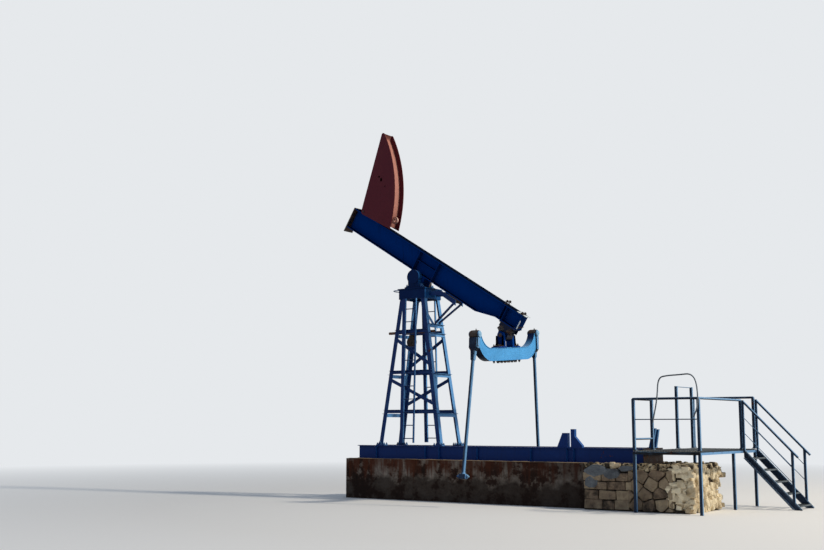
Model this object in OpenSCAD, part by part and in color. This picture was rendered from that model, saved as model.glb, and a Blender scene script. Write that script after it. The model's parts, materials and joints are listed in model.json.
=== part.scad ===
// Walking-beam pumpjack, partly dismantled: the head is folded back on the beam,
// and the cranks, gearbox and motor are gone. +X is the tail, -Y is the near side,
// and the origin is on the ground under the saddle bearing.

/* [Foundation] */
// Height of the concrete plinth
plinth_h = 915; // [700:5:1100]
// Width of the concrete plinth
plinth_w = 1240; // [1150:10:1500]
// Reach of the plinth ahead of the saddle
plinth_front = 1700; // [1600:10:2200]
// Reach of the concrete behind the saddle
plinth_rear = 4600; // [4200:10:5000]
// Length of the stone pier behind the concrete
pier_l = 2330; // [1600:10:2450]
// Width of the stone pier
pier_w = 1640; // [1400:10:1760]

/* [Base frame] */
// Height of each runner
runner_h = 308; // [220:1:400]
// Width of a runner's flanges
runner_flange_w = 150; // [120:1:160]
// Thickness of a runner's flanges
runner_flange_t = 16; // [10:1:24]
// Thickness of a runner's web
runner_web_t = 12; // [8:1:18]
// Distance between the outer flange edges of the two runners
base_w = 958; // [940:1:1020]
// Reach of the runners ahead of the saddle
base_front = 1470; // [1300:10:1600]
// Width of a cross beam along the base
cross_w = 100; // [60:1:140]
// Height of a cross beam
cross_h = 240; // [160:1:260]

/* [Samson post] */
// Distance between the front and rear legs at the foot, outside
post_foot_l = 1736; // [1500:2:2000]
// Distance between the near and far legs at the foot, outside
post_foot_w = 864; // [840:2:900]
// Distance between the front and rear legs at the top, outside
post_top_l = 702; // [640:2:800]
// Distance between the near and far legs at the top, outside
post_top_w = 634; // [600:2:700]
// Height of the four legs
post_h = 3407; // [3000:1:3800]
// Width of a leg's two faces
leg_w = 105; // [80:1:130]
// Thickness of a leg's angle
leg_t = 12; // [8:1:16]
// Heights of the cross bars on the side faces, above the runners
brace_levels = [780, 1690, 2640];
// How much lower the cross bars on the front and rear faces sit
end_brace_drop = 90; // [85:1:150]
// Height of a bracing angle
brace_w = 78; // [60:1:90]
// Depth of a bracing angle, outwards
brace_d = 50; // [30:1:70]
// Thickness of a bracing angle
brace_t = 8; // [6:1:12]
// Height of the cap frame on the legs
cap_h = 250; // [200:1:300]
// Overhang of the cap frame past the legs
cap_over = 20; // [5:1:60]

/* [Ladders] */
// Distance between the centres of a ladder's stiles
ladder_w = 330; // [300:1:400]
// Distance from rung to rung
rung_pitch = 300; // [250:5:350]
// Rung radius
rung_r = 11; // [8:0.5:14]
// Depth of a stile
stile_d = 45; // [35:1:60]
// Thickness of a stile
stile_t = 25; // [18:1:35]
// Width of the heavier stile on the head's side
heavy_stile_t = 85; // [30:1:100]

/* [Saddle bearing] */
// Height of the saddle axis above the cap frame
saddle_rise = 275; // [265:1:340]
// Radius of a bearing housing
housing_r = 168; // [140:1:190]
// Width of a bearing housing
housing_w = 112; // [90:1:140]
// Distance from the middle plane to a housing's inner face
housing_in = 165; // [158:1:200]
// Radius of the saddle shaft
saddle_shaft_r = 60; // [45:1:75]
// Half length of the saddle block under the beam
saddle_block_l = 230; // [180:1:240]

/* [Walking beam] */
// How far the beam hangs tail down
beam_tilt = 32; // [28:0.5:34]
// Reach of the beam ahead of the saddle
beam_front = 2560; // [2450:5:2700]
// Reach of the beam behind the saddle
beam_rear = 2985; // [2920:5:3100]
// Depth of the beam
beam_depth = 509; // [450:1:560]
// Depth of the beam at its tail
tail_depth = 365; // [320:1:420]
// Height of the beam's underside above the saddle axis
beam_rise = 97; // [90:1:120]
// Thickness of the plate on the beam's front end
end_plate_t = 30; // [16:1:40]
// Width of the beam's flanges
beam_w = 300; // [260:1:320]
// Thickness of the beam's flanges
beam_flange_t = 20; // [14:1:28]
// Thickness of the beam's web
beam_web_t = 16; // [10:1:24]
// Where the underside starts to rise towards the tail
taper_start = 1850; // [1700:10:2000]
// Where the underside reaches the tail depth
taper_end = 2390; // [2200:10:2500]

/* [Folding head] */
// Radius of the head's arc around the saddle axis
head_arc_r = 3262; // [3200:1:3330]
// Distance of the fold hinge ahead of the saddle, along the beam
hinge_front = 2258; // [2200:1:2300]
// Height of the fold hinge above the top of the beam
hinge_rise = 55; // [50:1:70]
// Angle through which the head is folded back
fold_angle = 143; // [138:0.5:146]
// Angle of the head's top edge above the beam when unfolded
head_top_angle = 33.6; // [31:0.1:35]
// Angle of the head's back edge below the beam when unfolded
head_back_angle = 66.4; // [64:0.1:70]
// Outside width of the head
head_w = 372; // [366:1:400]
// Distance from the fold pin to the head's edges
head_edge = 75; // [60:1:85]
// Radius that rounds the head's tip
tip_r = 55; // [30:1:80]
// Thickness of the head's plates
head_plate_t = 12; // [8:1:16]
// Depth of the rope groove between the side plates
groove_d = 125; // [100:1:160]
// Angle of the rope eye above the beam's line when unfolded
eye_angle = 18.5; // [16:0.1:20]
// Radius of the fold pin
hinge_pin_r = 20; // [16:1:24]
// Radius of the rope eye
eye_r = 88; // [60:1:100]

/* [Tail bearing and equalizer] */
// Distance of the tail bearing behind the saddle, along the beam
tail_arm = 2760; // [2600:5:2800]
// Depth of the tail bearing below the line of the beam through the saddle axis
tail_drop = 5; // [0:1:40]
// Radius of the tail bearing's housing
tail_housing_r = 130; // [110:1:140]
// Radius of the ball on the equalizer's shaft
tail_ball_r = 85; // [75:1:95]
// Radius of the equalizer's shaft
tail_shaft_r = 45; // [35:1:50]
// Roll of the equalizer, far end up
eq_roll = 4.3; // [0:0.1:6]
// Distance from the middle to a pitman pin
eq_pin_half = 1275; // [1150:5:1350]
// Depth of the equalizer's flat top below the tail bearing
eq_top_drop = 280; // [250:1:300]
// Depth of the equalizer's web
eq_depth = 286; // [240:1:320]
// Width of the equalizer along the beam
eq_w = 230; // [180:1:260]
// Half length of the equalizer's straight middle
eq_flat_half = 750; // [700:5:800]
// Outer radius of the upturned ends
eq_outer_r = 575; // [540:1:600]
// Inner radius of the upturned ends
eq_inner_r = 440; // [420:1:460]

/* [Pitmans] */
// Length of a pitman from its pin to its foot
pitman_l = 3030; // [2700:10:3100]
// Lean of the near pitman away from the base
near_lean = 9.8; // [0:0.1:12]
// Lean of the far pitman away from the base
far_lean = 3.4; // [0:0.1:12]
// Radius of a pitman's tube
pitman_tube_r = 45; // [35:1:55]
// Radius of a pitman pin
pitman_pin_r = 30; // [24:1:36]
// Length of the yoke that hangs on the pin
yoke_l = 400; // [395:5:450]

/* [Platform] */
// Distance of the platform's front edge behind the saddle
platform_x = 5790; // [5700:10:5900]
// Length of the platform along the base
platform_l = 1385; // [1200:5:1500]
// Distance from the middle plane to the platform's near edge
platform_near = 1016; // [950:2:1100]
// Width of the platform across the base
platform_w = 3196; // [3000:2:3300]
// Height of the deck above the ground
deck_z = 1195; // [1120:5:1300]
// Height of the handrail above the deck
rail_h = 1000; // [900:10:1100]
// Width of the square posts
post_w = 55; // [40:1:70]
// Radius of the handrails
rail_r = 24; // [18:1:28]
// How much higher the far handrail runs
far_rail_up = 75; // [0:5:120]
// Height of the gate posts above the deck
gate_h = 1315; // [1100:5:1500]

/* [Stair] */
// Width of the stair
stair_w = 800; // [600:5:900]
// Rise of each step
riser = 233; // [180:1:240]
// Going of each step
going = 222; // [200:1:280]
// Drop from the deck to the first tread
first_drop = 175; // [150:1:233]
// Number of treads
treads = 5; // [4:1:5]

/* [Hidden] */
$fn = 64;
// Gap left where two separate pieces seat on each other
seat_gap = 0.3;
// Radial clearance of a pin or shaft that turns in its bore
run_gap = 0.1;
// Small overlap that fuses the parts of one piece
fuse = 1;

runner_top = plinth_h + runner_h;
runner_y = (base_w - runner_flange_w) / 2;
side_lean = atan((post_foot_w - post_top_w) / 2 / post_h);
end_lean = atan((post_foot_l - post_top_l) / 2 / post_h);
cap_bottom = runner_top + post_h;
cap_top = cap_bottom + cap_h;
saddle_z = cap_top + saddle_rise;
beam_top = beam_rise + beam_depth;
tail_under = beam_top - tail_depth;
hinge_z = beam_top + hinge_rise;
// The tail bearing in the ground frame
tail_x = tail_arm * cos(beam_tilt) - tail_drop * sin(beam_tilt);
tail_z = saddle_z - tail_arm * sin(beam_tilt) - tail_drop * cos(beam_tilt);
eq_under = eq_top_drop + eq_depth;
eq_pin_z = 25;
eq_outer_z = eq_outer_r - eq_under;
eq_inner_z = eq_inner_r - eq_top_drop;
near_y = -platform_near;
far_y = platform_w - platform_near;
platform_rear = platform_x + platform_l;
rail_z = deck_z + rail_h;
stair_near_y = far_y - stair_w;

blue = "#23406e";
lit_blue = "#4f8fc6";
red = "#4a1a1e";
rust = "#6b4a3a";
concrete = "#9a8f80";
stone = "#a6977c";
grey_blue = "#54677e";
dark = "#23262b";

// Frames that the pieces are drawn in

// Face of the post: x across, y up the slope, z outwards. side is "near" or "far".
module side_face(side) {
    mirror([0, side == "far" ? 1 : 0, 0])
    translate([0, -post_foot_w / 2, runner_top])
    rotate([90 - side_lean, 0, 0])
    children();
}

// Same for the "rear" and "front" faces, where x runs across from near to far.
module end_face(side) {
    mirror([side == "front" ? 1 : 0, 0, 0])
    translate([post_foot_l / 2, 0, runner_top])
    rotate([0, 0, 90])
    rotate([90 - end_lean, 0, 0])
    children();
}

// Beam: x along the beam to the tail, z square to it, from the saddle axis.
module on_beam() {
    translate([0, 0, saddle_z])
    rotate([0, beam_tilt, 0])
    children();
}

// Head in its folded place, drawn as it stands unfolded.
module folded() {
    on_beam()
    translate([-hinge_front, 0, hinge_z])
    rotate([0, fold_angle, 0])
    translate([hinge_front, 0, -hinge_z])
    children();
}

// Equalizer: x along the unit, y along the equalizer, from the tail bearing.
module on_equalizer() {
    translate([tail_x, 0, tail_z])
    rotate([eq_roll, 0, 0])
    children();
}

// Extrudes an outline drawn in x and z, w wide, about the middle plane.
module across(w) {
    rotate([90, 0, 0])
    linear_extrude(w, center = true)
    children();
}

// Square bar between two points of one plane, for rails and struts
module bar(a, b, w) {
    d = b - a;
    l = norm(d);
    translate(a)
    rotate([0, acos(d[2] / l), atan2(d[1], d[0])])
    translate([-w / 2, -w / 2, 0])
    cube([w, w, l]);
}

// Round bar between two points
module rod(a, b, r) {
    d = b - a;
    l = norm(d);
    translate(a)
    rotate([0, acos(d[2] / l), atan2(d[1], d[0])])
    cylinder(r = r, h = l, $fn = 24);
}

// Foundation

module plinth() {
    color(concrete)
    translate([-plinth_front, -plinth_w / 2, 0])
    cube([plinth_front + plinth_rear, plinth_w, plinth_h]);
}

module stone_pier() {
    top = plinth_h;
    color(stone)
    translate([plinth_rear, 0, 0])
    across(pier_w)
    polygon([[0, 0], [pier_l - 130, 0], [pier_l - 110, 0.35 * top], [pier_l, 0.6 * top],
             [pier_l - 20, top], [0, top]]);
}

// Base frame

// Where the web is stiffened, measured from the saddle axis
stiffener_x = [-950, 440, 820, 1830, 3180, 4040, 4200];

module runner(side) {
    y = side * runner_y;
    l = base_front + platform_x - rear_plate_t - 2 * seat_gap;
    color(blue)
    translate([0, y, plinth_h]) {
        for (z = [0, runner_h - runner_flange_t])
            translate([-base_front, -runner_flange_w / 2, z])
            cube([l, runner_flange_w, runner_flange_t]);
        translate([-base_front, -runner_web_t / 2, 0])
        cube([l, runner_web_t, runner_h]);
        for (x = stiffener_x)
            translate([x, side > 0 ? 0 : -runner_flange_w / 2 + 8, runner_flange_t / 2])
            cube([12, runner_flange_w / 2 - 8, runner_h - runner_flange_t]);
    }
}

rear_plate_t = 16;

// Plate across the rear end of both runners
module base_end_plate() {
    color(rust)
    translate([platform_x - rear_plate_t - seat_gap, -base_w / 2, plinth_h])
    cube([rear_plate_t, base_w, runner_h]);
}

// Stumps that the removed drive left on the base
module base_stubs() {
    color(blue) {
        translate([4150, -runner_y - 45, runner_top])
        cube([90, 90, 380]);
        translate([4150, -runner_y, runner_top])
        across(90)
        polygon([[90 - fuse, 0], [260, 0], [260, 40], [90 - fuse, 230]]);
    }
    color(dark)
    translate([3830, -runner_y, runner_top])
    across(110)
    polygon([[0, 0], [250, 0], [250, 300], [130, 300]]);
}

// Pipe left lying on the upper cross bars of the front and rear faces
module old_pipe() {
    r = 32;
    low = brace_levels[2] - end_brace_drop + brace_w / 2 * cos(end_lean) + brace_d * sin(end_lean);
    color(rust)
    translate([-750, -(end_half(brace_levels[2]) - leg_w - r - 10), runner_top + low + r + seat_gap])
    rotate([0, 90, 0])
    difference() {
        cylinder(r = r, h = 1310);
        translate([0, 0, -fuse])
        cylinder(r = r - 5, h = 1310 + 2 * fuse);
    }
}

// Bent rod in front of the cap, once a hand hold
module front_hoop() {
    x = -post_top_l / 2 - cap_over;
    tip = [x - 300, -100, cap_top - 22];
    color(lit_blue) {
        rod([x - 7, -200, cap_top - 34], tip, 9);
        rod([x - 7, 200, cap_top - 34], tip, 9);
        translate(tip)
        sphere(r = 12);
    }
}

cross_x = [-1330, -810, 810, 1830, 3180, 4120, platform_x - 70];

module base_crossbeams() {
    span = 2 * runner_y - runner_web_t;
    color(blue)
    for (x = cross_x)
        translate([x - cross_w / 2, -span / 2, plinth_h + (runner_h - cross_h) / 2])
        cube([cross_w, span, cross_h]);
}

// Samson post

module leg(end, side) {
    l0 = post_foot_l / 2;
    l1 = post_top_l / 2;
    w0 = post_foot_w / 2;
    w1 = post_top_w / 2;
    va = post_h / cos(side_lean) - leg_t;
    ve = post_h / cos(end_lean) - leg_t;
    foot_w = runner_flange_w - 12;
    color(blue)
    mirror([end == "front" ? 1 : 0, 0, 0])
    mirror([0, side == "far" ? 1 : 0, 0]) {
        side_face("near")
        translate([0, 0, -leg_t])
        linear_extrude(leg_t)
        polygon([[l0 - leg_w, 6], [l0, 6], [l1, va], [l1 - leg_w, va]]);
        end_face("rear")
        translate([0, 0, -leg_t])
        linear_extrude(leg_t)
        polygon([[-w0, 6], [-w0 + leg_w, 6], [-w1 + leg_w, ve], [-w1, ve]]);
        translate([l0 - 180, -runner_y - foot_w / 2, runner_top])
        cube([240, foot_w, 16]);
        translate([l1 - 130, -w1, cap_bottom - 16])
        cube([130, 120, 16]);
    }
}

// Angle bar across a face at height v, half length h
module face_bar(h, v) {
    translate([-h, v - brace_w / 2, 0])
    cube([2 * h, brace_w, brace_t]);
    translate([-h, v + brace_w / 2 - brace_t, 0])
    cube([2 * h, brace_t, brace_d]);
}

// Flat diagonal in a face, from [x, y] to [x, y]
module face_diagonal(a, b) {
    d = b - a;
    l = norm(d);
    translate([a[0], a[1], 0])
    rotate([0, 0, atan2(d[1], d[0])])
    translate([0, -brace_w / 2, 0.5])
    cube([l, brace_w, brace_t - 1]);
}

function side_half(h) = (post_foot_l + (post_top_l - post_foot_l) * h / post_h) / 2;
function end_half(h) = (post_foot_w + (post_top_w - post_foot_w) * h / post_h) / 2;

module side_bracing(side) {
    // The diagonals fall to the rear on the near face and to the front on the far one
    s = side == "near" ? 1 : -1;
    end = 150;
    color(blue)
    side_face(side) {
        for (h = brace_levels)
            face_bar(side_half(h) - 15, h / cos(side_lean));
        for (i = [0, 1]) {
            lo = brace_levels[i] + end;
            hi = brace_levels[i + 1] - end;
            face_diagonal([-s * (side_half(hi) - 20), hi / cos(side_lean)],
                          [s * (side_half(lo) - 20), lo / cos(side_lean)]);
        }
    }
}

// The rear face also has the foot of the beam rest's struts: a bar and a V above it
strut_foot = 2760;

module end_bracing(side) {
    color(side == "rear" ? lit_blue : blue)
    end_face(side) {
        for (h = brace_levels)
            face_bar(end_half(h - end_brace_drop) - 15, (h - end_brace_drop) / cos(end_lean));
        if (side == "rear") {
            face_bar(end_half(strut_foot) - 15, strut_foot / cos(end_lean));
            for (s = [-1, 1])
                face_diagonal([s * (end_half(strut_foot + 330) - 20), strut_foot + 330],
                              [s * 30, strut_foot]);
        }
    }
}

module post_cap() {
    l = post_top_l + 2 * cap_over;
    w = post_top_w + 2 * cap_over;
    lip = 25;
    color(blue)
    translate([-l / 2, -w / 2, cap_bottom])
    difference() {
        union() {
            cube([l, w, cap_h]);
            translate([-lip, -lip, cap_h - 20])
            cube([l + 2 * lip, w + 2 * lip, 20]);
        }
        translate([30, 30, -fuse])
        cube([l - 60, w - 60, cap_h - 20 + fuse]);
    }
}

module ladder(side) {
    v0 = 60;
    v1 = post_h / cos(side_lean);
    color(lit_blue)
    side_face(side)
    translate([0, 0, brace_d]) {
        translate([ladder_w / 2 - stile_t / 2, v0, 0])
        cube([stile_t, v1 - v0, stile_d]);
        translate([-ladder_w / 2 - heavy_stile_t / 2, v0, 0])
        cube([heavy_stile_t, v1 - v0, stile_d]);
        for (v = [v0 + 100 : rung_pitch : v1 - 40])
            translate([-ladder_w / 2, v, stile_d / 2])
            rotate([0, 90, 0])
            cylinder(r = rung_r, h = ladder_w, $fn = 24);
    }
}

// Saddle bearings

module saddle_bearing(side) {
    color(side == "near" ? lit_blue : rust)
    mirror([0, side == "far" ? 1 : 0, 0])
    translate([0, -housing_in, saddle_z]) {
        rotate([90, 0, 0])
        difference() {
            union() {
                cylinder(r = housing_r, h = housing_w + 16);
                translate([-150, -saddle_rise + 40, 0])
                cube([300, saddle_rise - 40, housing_w]);
                translate([-250, -saddle_rise, -20])
                cube([500, 40, housing_w + 20]);
            }
            translate([0, 0, -fuse])
            cylinder(r = saddle_shaft_r + run_gap, h = housing_w + fuse);
        }
    }
}

// Bracket behind the post that carries the timber under the lowered beam
rest_x = 1020;
rest_l = 240;
rest_w = 320;
rest_t = 16;
timber_h = 90;

function under_beam(x, gap) = saddle_z - x * tan(beam_tilt)
                              + (beam_rise - gap) / cos(beam_tilt);

module beam_rest() {
    face = post_top_l / 2 + cap_over;
    arm_top = cap_top - 90;
    // Where the level arm meets the line 30 mm under the beam
    knee = (saddle_z + (beam_rise - 30) / cos(beam_tilt) - arm_top) / tan(beam_tilt);
    tip = (rest_x + rest_l) * cos(beam_tilt) + 40;
    foot_z = runner_top + strut_foot + brace_w / 2 + 24;
    foot_x = post_foot_l / 2 - (post_foot_l - post_top_l) / 2 * strut_foot / post_h + 35;
    color(blue) {
        for (s = [-1, 1])
            translate([0, s * (rest_w - rest_t) / 2, 0])
            across(rest_t)
            polygon([[face, arm_top - 90], [face, arm_top], [knee, arm_top], [tip, under_beam(tip, 30)],
                     [tip, under_beam(tip, 30) - 130], [knee, arm_top - 110]]);
        on_beam()
        translate([rest_x, -rest_w / 2 + rest_t - fuse, beam_rise - timber_h - rest_t - 2 * seat_gap])
        cube([rest_l, rest_w - 2 * rest_t + 2 * fuse, rest_t]);
        for (s = [-1, 1])
            bar([tip - 60, s * (rest_w - rest_t) / 2, under_beam(tip, 30) - 80], [foot_x, s * 70, foot_z], 40);
    }
}

module rest_timber() {
    color(rust)
    on_beam()
    translate([rest_x, -rest_w / 2 + rest_t + seat_gap, beam_rise - timber_h - seat_gap])
    cube([rest_l, rest_w - 2 * rest_t - 2 * seat_gap, timber_h]);
}

// Walking beam

module walking_beam() {
    f = beam_flange_t;
    color(blue)
    on_beam()
    translate([-beam_front, 0, 0]) {
        l = beam_front + beam_rear;
        t0 = beam_front + taper_start;
        t1 = beam_front + taper_end;
        translate([0, -beam_w / 2, beam_top - f])
        cube([l, beam_w, f]);
        across(beam_web_t)
        polygon([[0, beam_rise], [t0, beam_rise], [t1, tail_under], [l, tail_under],
                 [l, beam_top], [0, beam_top]]);
        across(beam_w)
        polygon([[0, beam_rise], [t0, beam_rise], [t1, tail_under], [l, tail_under],
                 [l, tail_under + f], [t1, tail_under + f], [t0, beam_rise + f],
                 [0, beam_rise + f]]);
        for (x = [beam_front - saddle_block_l, beam_front + 400])
            translate([x - 6, -beam_w / 2 + 6, beam_rise + f / 2])
            cube([12, beam_w - 12, beam_depth - f]);
        // Rib along the web between the two stiffeners over the saddle
        translate([beam_front - saddle_block_l, -beam_w / 2 + 40, beam_rise + 0.52 * beam_depth])
        cube([saddle_block_l + 400, beam_w - 80, 12]);
        for (x = [beam_front + tail_arm - 290, beam_front + tail_arm - 210, l - 14])
            translate([x, -beam_w / 2 + 6, tail_under + f / 2])
            cube([12, beam_w - 12, tail_depth - f]);
        for (s = [-1, 1])
            translate([beam_front - hinge_front, s * 120, beam_top])
            hinge_lug();
    }
}

module hinge_lug() {
    rotate([90, 0, 0])
    linear_extrude(24, center = true)
    difference() {
        union() {
            translate([-60, -fuse])
            square([120, hinge_rise + fuse]);
            translate([0, hinge_rise])
            circle(r = 40);
        }
        translate([0, hinge_rise])
        circle(r = hinge_pin_r + run_gap);
    }
}

module beam_end_plate() {
    color(dark)
    on_beam()
    translate([-beam_front - end_plate_t - seat_gap, -beam_w / 2 - 8, -30])
    cube([end_plate_t, beam_w + 16, beam_top + 30 + 10]);
}

module saddle_block() {
    color(blue)
    on_beam() {
        translate([-saddle_block_l, -beam_w / 2, -95])
        cube([2 * saddle_block_l, beam_w, beam_rise + 95 - seat_gap]);
        rotate([90, 0, 0])
        cylinder(r = saddle_shaft_r, h = 2 * (housing_in + housing_w - 5), center = true);
    }
}

// The hanger clears the rolled pedestals by 5 mm or more at its lower edge
hanger_w = 260;
pedestal_in = 150;

module tail_hanger() {
    color(dark)
    on_beam()
    translate([tail_arm, 0, -tail_drop])
    difference() {
        union() {
            rotate([90, 0, 0])
            cylinder(r = tail_housing_r, h = hanger_w, center = true);
            translate([-125, -hanger_w / 2, 0])
            cube([250, hanger_w, tail_under + tail_drop - seat_gap]);
            translate([-230, -beam_w / 2 + 4, tail_under + tail_drop - 28 - seat_gap])
            cube([430, beam_w - 8, 28]);
            for (y = [-70, 62])
                translate([-230, y, tail_under + tail_drop - 130])
                cube([440, 8, 130 - seat_gap - 14]);
        }
        rotate([90, 0, 0])
        cylinder(r = tail_ball_r + run_gap, h = 400, center = true);
    }
}

// Folding head, drawn unfolded: the arc is centred on the saddle axis

// Where a circle of tip_r would touch the arc and the back edge: the tip is cut there and rounded
back_dir = [cos(180 + head_back_angle), sin(180 + head_back_angle)];
back_out = [cos(270 + head_back_angle), sin(270 + head_back_angle)];
top_dir = [cos(180 - head_top_angle), sin(180 - head_top_angle)];
top_out = [cos(90 - head_top_angle), sin(90 - head_top_angle)];
tip_line = [-hinge_front, hinge_z] + (head_edge - tip_r) * back_out;
tip_along = -tip_line * back_dir + sqrt(pow(tip_line * back_dir, 2) - tip_line * tip_line
                                        + pow(head_arc_r - tip_r, 2));
tip_c = tip_line + tip_along * back_dir;
tip_a = tip_c * head_arc_r / norm(tip_c);
tip_b = tip_c + tip_r * back_out;

// Outline of a side plate, in x and z: the edges run head_edge off the pin, less an inset
module head_outline(r, inset) {
    e = head_edge - inset;
    reach = head_arc_r;
    intersection() {
        circle(r = r, $fn = 256);
        translate([-hinge_front, hinge_z])
        polygon([e * back_out, e * top_out, e * top_out + reach * top_dir, [-reach, 0],
                 e * back_out + reach * back_dir]);
    }
}

module head_side() {
    // From that circle's centre through the cut, past the sharp corner
    chord = (tip_a + tip_b) / 2 - tip_c;
    away = 10 * tip_r * chord / norm(chord);
    linear_extrude(head_plate_t)
    difference() {
        union() {
            difference() {
                head_outline(head_arc_r, 0);
                polygon([tip_a, tip_b, tip_b + away, tip_a + away]);
            }
            translate((tip_a + tip_b) / 2)
            circle(r = norm(tip_a - tip_b) / 2 - 3);
            translate([-hinge_front, hinge_z])
            circle(r = head_edge - 3);
        }
        translate([-hinge_front, hinge_z])
        circle(r = hinge_pin_r + run_gap);
        // Square sling hole
        translate([-hinge_front, hinge_z] + 920 * back_dir + 190 * [back_dir[1], -back_dir[0]])
        rotate(180 + head_back_angle)
        square(45, center = true);
    }
}

module head_plates() {
    color(red)
    folded()
    for (s = [0, 1])
        mirror([0, s, 0])
        translate([0, -head_w / 2 + head_plate_t, 0])
        rotate([90, 0, 0])
        head_side();
}

// Rope track, seat plate, back plate and top plate between the side plates
module head_groove() {
    w = head_w - 2 * head_plate_t - 2 * seat_gap;
    t = head_plate_t;
    inset = 25;
    edge = head_edge - inset;
    floor_r = head_arc_r - groove_d;
    seat = beam_front + end_plate_t + 8;
    color("#b98577")
    folded()
    across(w) {
        intersection() {
            head_outline(head_arc_r, inset);
            difference() {
                circle(r = floor_r, $fn = 256);
                circle(r = floor_r - t, $fn = 256);
            }
        }
        intersection() {
            head_outline(floor_r, inset);
            translate([-seat - t, -hinge_front])
            square([t, 2 * hinge_front]);
        }
        intersection() {
            head_outline(floor_r, inset);
            translate([-hinge_front, hinge_z])
            rotate(180 + head_back_angle)
            translate([(seat - hinge_front + edge * sin(head_back_angle)) / cos(head_back_angle), edge - t])
            square([head_arc_r, t]);
        }
    }
}

module head_pin() {
    color(dark)
    folded()
    translate([-hinge_front, 0, hinge_z])
    rotate([90, 0, 0])
    cylinder(r = hinge_pin_r, h = head_w + 40, center = true);
}

module rope_eye() {
    r = head_arc_r - groove_d + eye_r;
    color("#b98577")
    folded()
    rotate([0, eye_angle, 0])
    translate([-r, 0, 0])
    rotate([90, 0, 0])
    difference() {
        cylinder(r = eye_r, h = 40, center = true);
        cylinder(r = 0.36 * eye_r, h = 60, center = true);
    }
}

// Equalizer

// Outline in y and z, from the tail bearing
module equalizer_outline(inset) {
    translate([-eq_flat_half, -eq_under + inset])
    square([2 * eq_flat_half, eq_depth - 2 * inset]);
    for (s = [0, 1])
        mirror([s, 0])
        difference() {
            intersection() {
                translate([eq_flat_half, eq_outer_z])
                circle(r = eq_outer_r - inset, $fn = 128);
                translate([eq_flat_half - fuse, -eq_under])
                square([eq_outer_r + fuse, eq_under + eq_pin_z]);
            }
            translate([eq_flat_half, eq_inner_z])
            circle(r = eq_inner_r + inset, $fn = 128);
        }
}

module equalizer_beam() {
    boss_y = eq_pin_half;
    color(lit_blue)
    on_equalizer()
    rotate([90, 0, 90])
    difference() {
        union() {
            linear_extrude(eq_w - 24, center = true)
            equalizer_outline(0);
            linear_extrude(eq_w, center = true)
            difference() {
                equalizer_outline(0);
                equalizer_outline(14);
            }
            for (s = [-1, 1])
                translate([s * boss_y, eq_pin_z])
                cylinder(r = 75, h = eq_w, center = true);
        }
        for (s = [-1, 1])
            translate([s * boss_y, eq_pin_z])
            cylinder(r = pitman_pin_r + run_gap, h = eq_w + 40, center = true);
    }
}

module equalizer_pedestals() {
    t = 70;
    inner = pedestal_in;
    color(blue)
    on_equalizer()
    for (s = [0, 1])
        mirror([0, s, 0])
        translate([0, -inner, 0])
        rotate([90, 0, 0])
        difference() {
            union() {
                cylinder(r = 85, h = t);
                translate([-85, -eq_top_drop + 25, 0])
                cube([170, eq_top_drop - 25, t]);
                translate([-100, -eq_top_drop + seat_gap, -40])
                cube([200, 25, 360]);
            }
            translate([0, 0, -100])
            cylinder(r = tail_shaft_r + seat_gap, h = 300);
        }
}

module equalizer_shaft() {
    color(rust)
    on_equalizer() {
        rotate([90, 0, 0])
        cylinder(r = tail_shaft_r, h = 480, center = true);
        sphere(r = tail_ball_r, $fn = 96);
    }
}

// Pitmans, drawn hanging straight down from the pin

// side is 1 where the outer cheek of the yoke faces the far side
module pitman(side) {
    gap = eq_w / 2 + 5;
    plate = 16;
    cheek = 70;
    head_r = 95;
    for (s = [-1, 1])
        translate([s * (gap + plate / 2), 0, 0])
        rotate([90, 0, 90])
        linear_extrude(plate, center = true)
        difference() {
            union() {
                circle(r = head_r);
                polygon([[-side * 60, -40], [side * (cheek + 12), -40], [side * (cheek + 12), -200],
                         [side * 50, -yoke_l], [-side * 50, -yoke_l]]);
            }
            circle(r = pitman_pin_r + run_gap);
        }
    for (s = [-1, 1])
        translate([s * (gap + plate), 0, 0])
        rotate([0, s * 90, 0])
        translate([0, 0, -fuse])
        difference() {
            cylinder(r = 55, h = 12 + fuse);
            translate([0, 0, -fuse])
            cylinder(r = pitman_pin_r + run_gap, h = 30);
        }
    // Cheek plate on the outer side and the block that carries the tube
    translate([0, side * (cheek + 6), 0])
    translate([-gap - fuse, -6, -200])
    cube([2 * (gap + fuse), 12, 130]);
    translate([-gap - fuse, -36, -yoke_l])
    cube([2 * (gap + fuse), 72, 50]);
    translate([0, 0, -pitman_l])
    cylinder(r = pitman_tube_r, h = pitman_l - yoke_l + fuse);
    translate([-125, -55, -pitman_l - 65])
    cube([250, 110, 130]);
    rotate([0, 90, 0])
    cylinder(r = pitman_pin_r, h = 2 * (gap + plate + 22), center = true);
}

module hung_pitman(s, lean) {
    translate([tail_x, 0, tail_z])
    rotate([eq_roll, 0, 0])
    translate([0, s * eq_pin_half, eq_pin_z])
    rotate([-eq_roll, 0, 0])
    rotate([s * lean, 0, 0])
    pitman(s);
}

module pitman_near() {
    color(blue)
    hung_pitman(-1, near_lean);
}

module pitman_far() {
    color(blue)
    hung_pitman(1, far_lean);
}

// Service platform behind the base

frame_h = 48;

module platform_frame() {
    h = frame_h;
    t = 50;
    z = deck_z - 30 - h;
    color(grey_blue) {
        translate([platform_x, near_y, z])
        difference() {
            cube([platform_l, platform_w, h]);
            translate([t, t, -fuse])
            cube([platform_l - 2 * t, platform_w - 2 * t, h + 2 * fuse]);
        }
        translate([platform_x + t - fuse, near_y + platform_w / 2, z])
        cube([platform_l - 2 * t + 2 * fuse, t, h]);
    }
}

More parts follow.
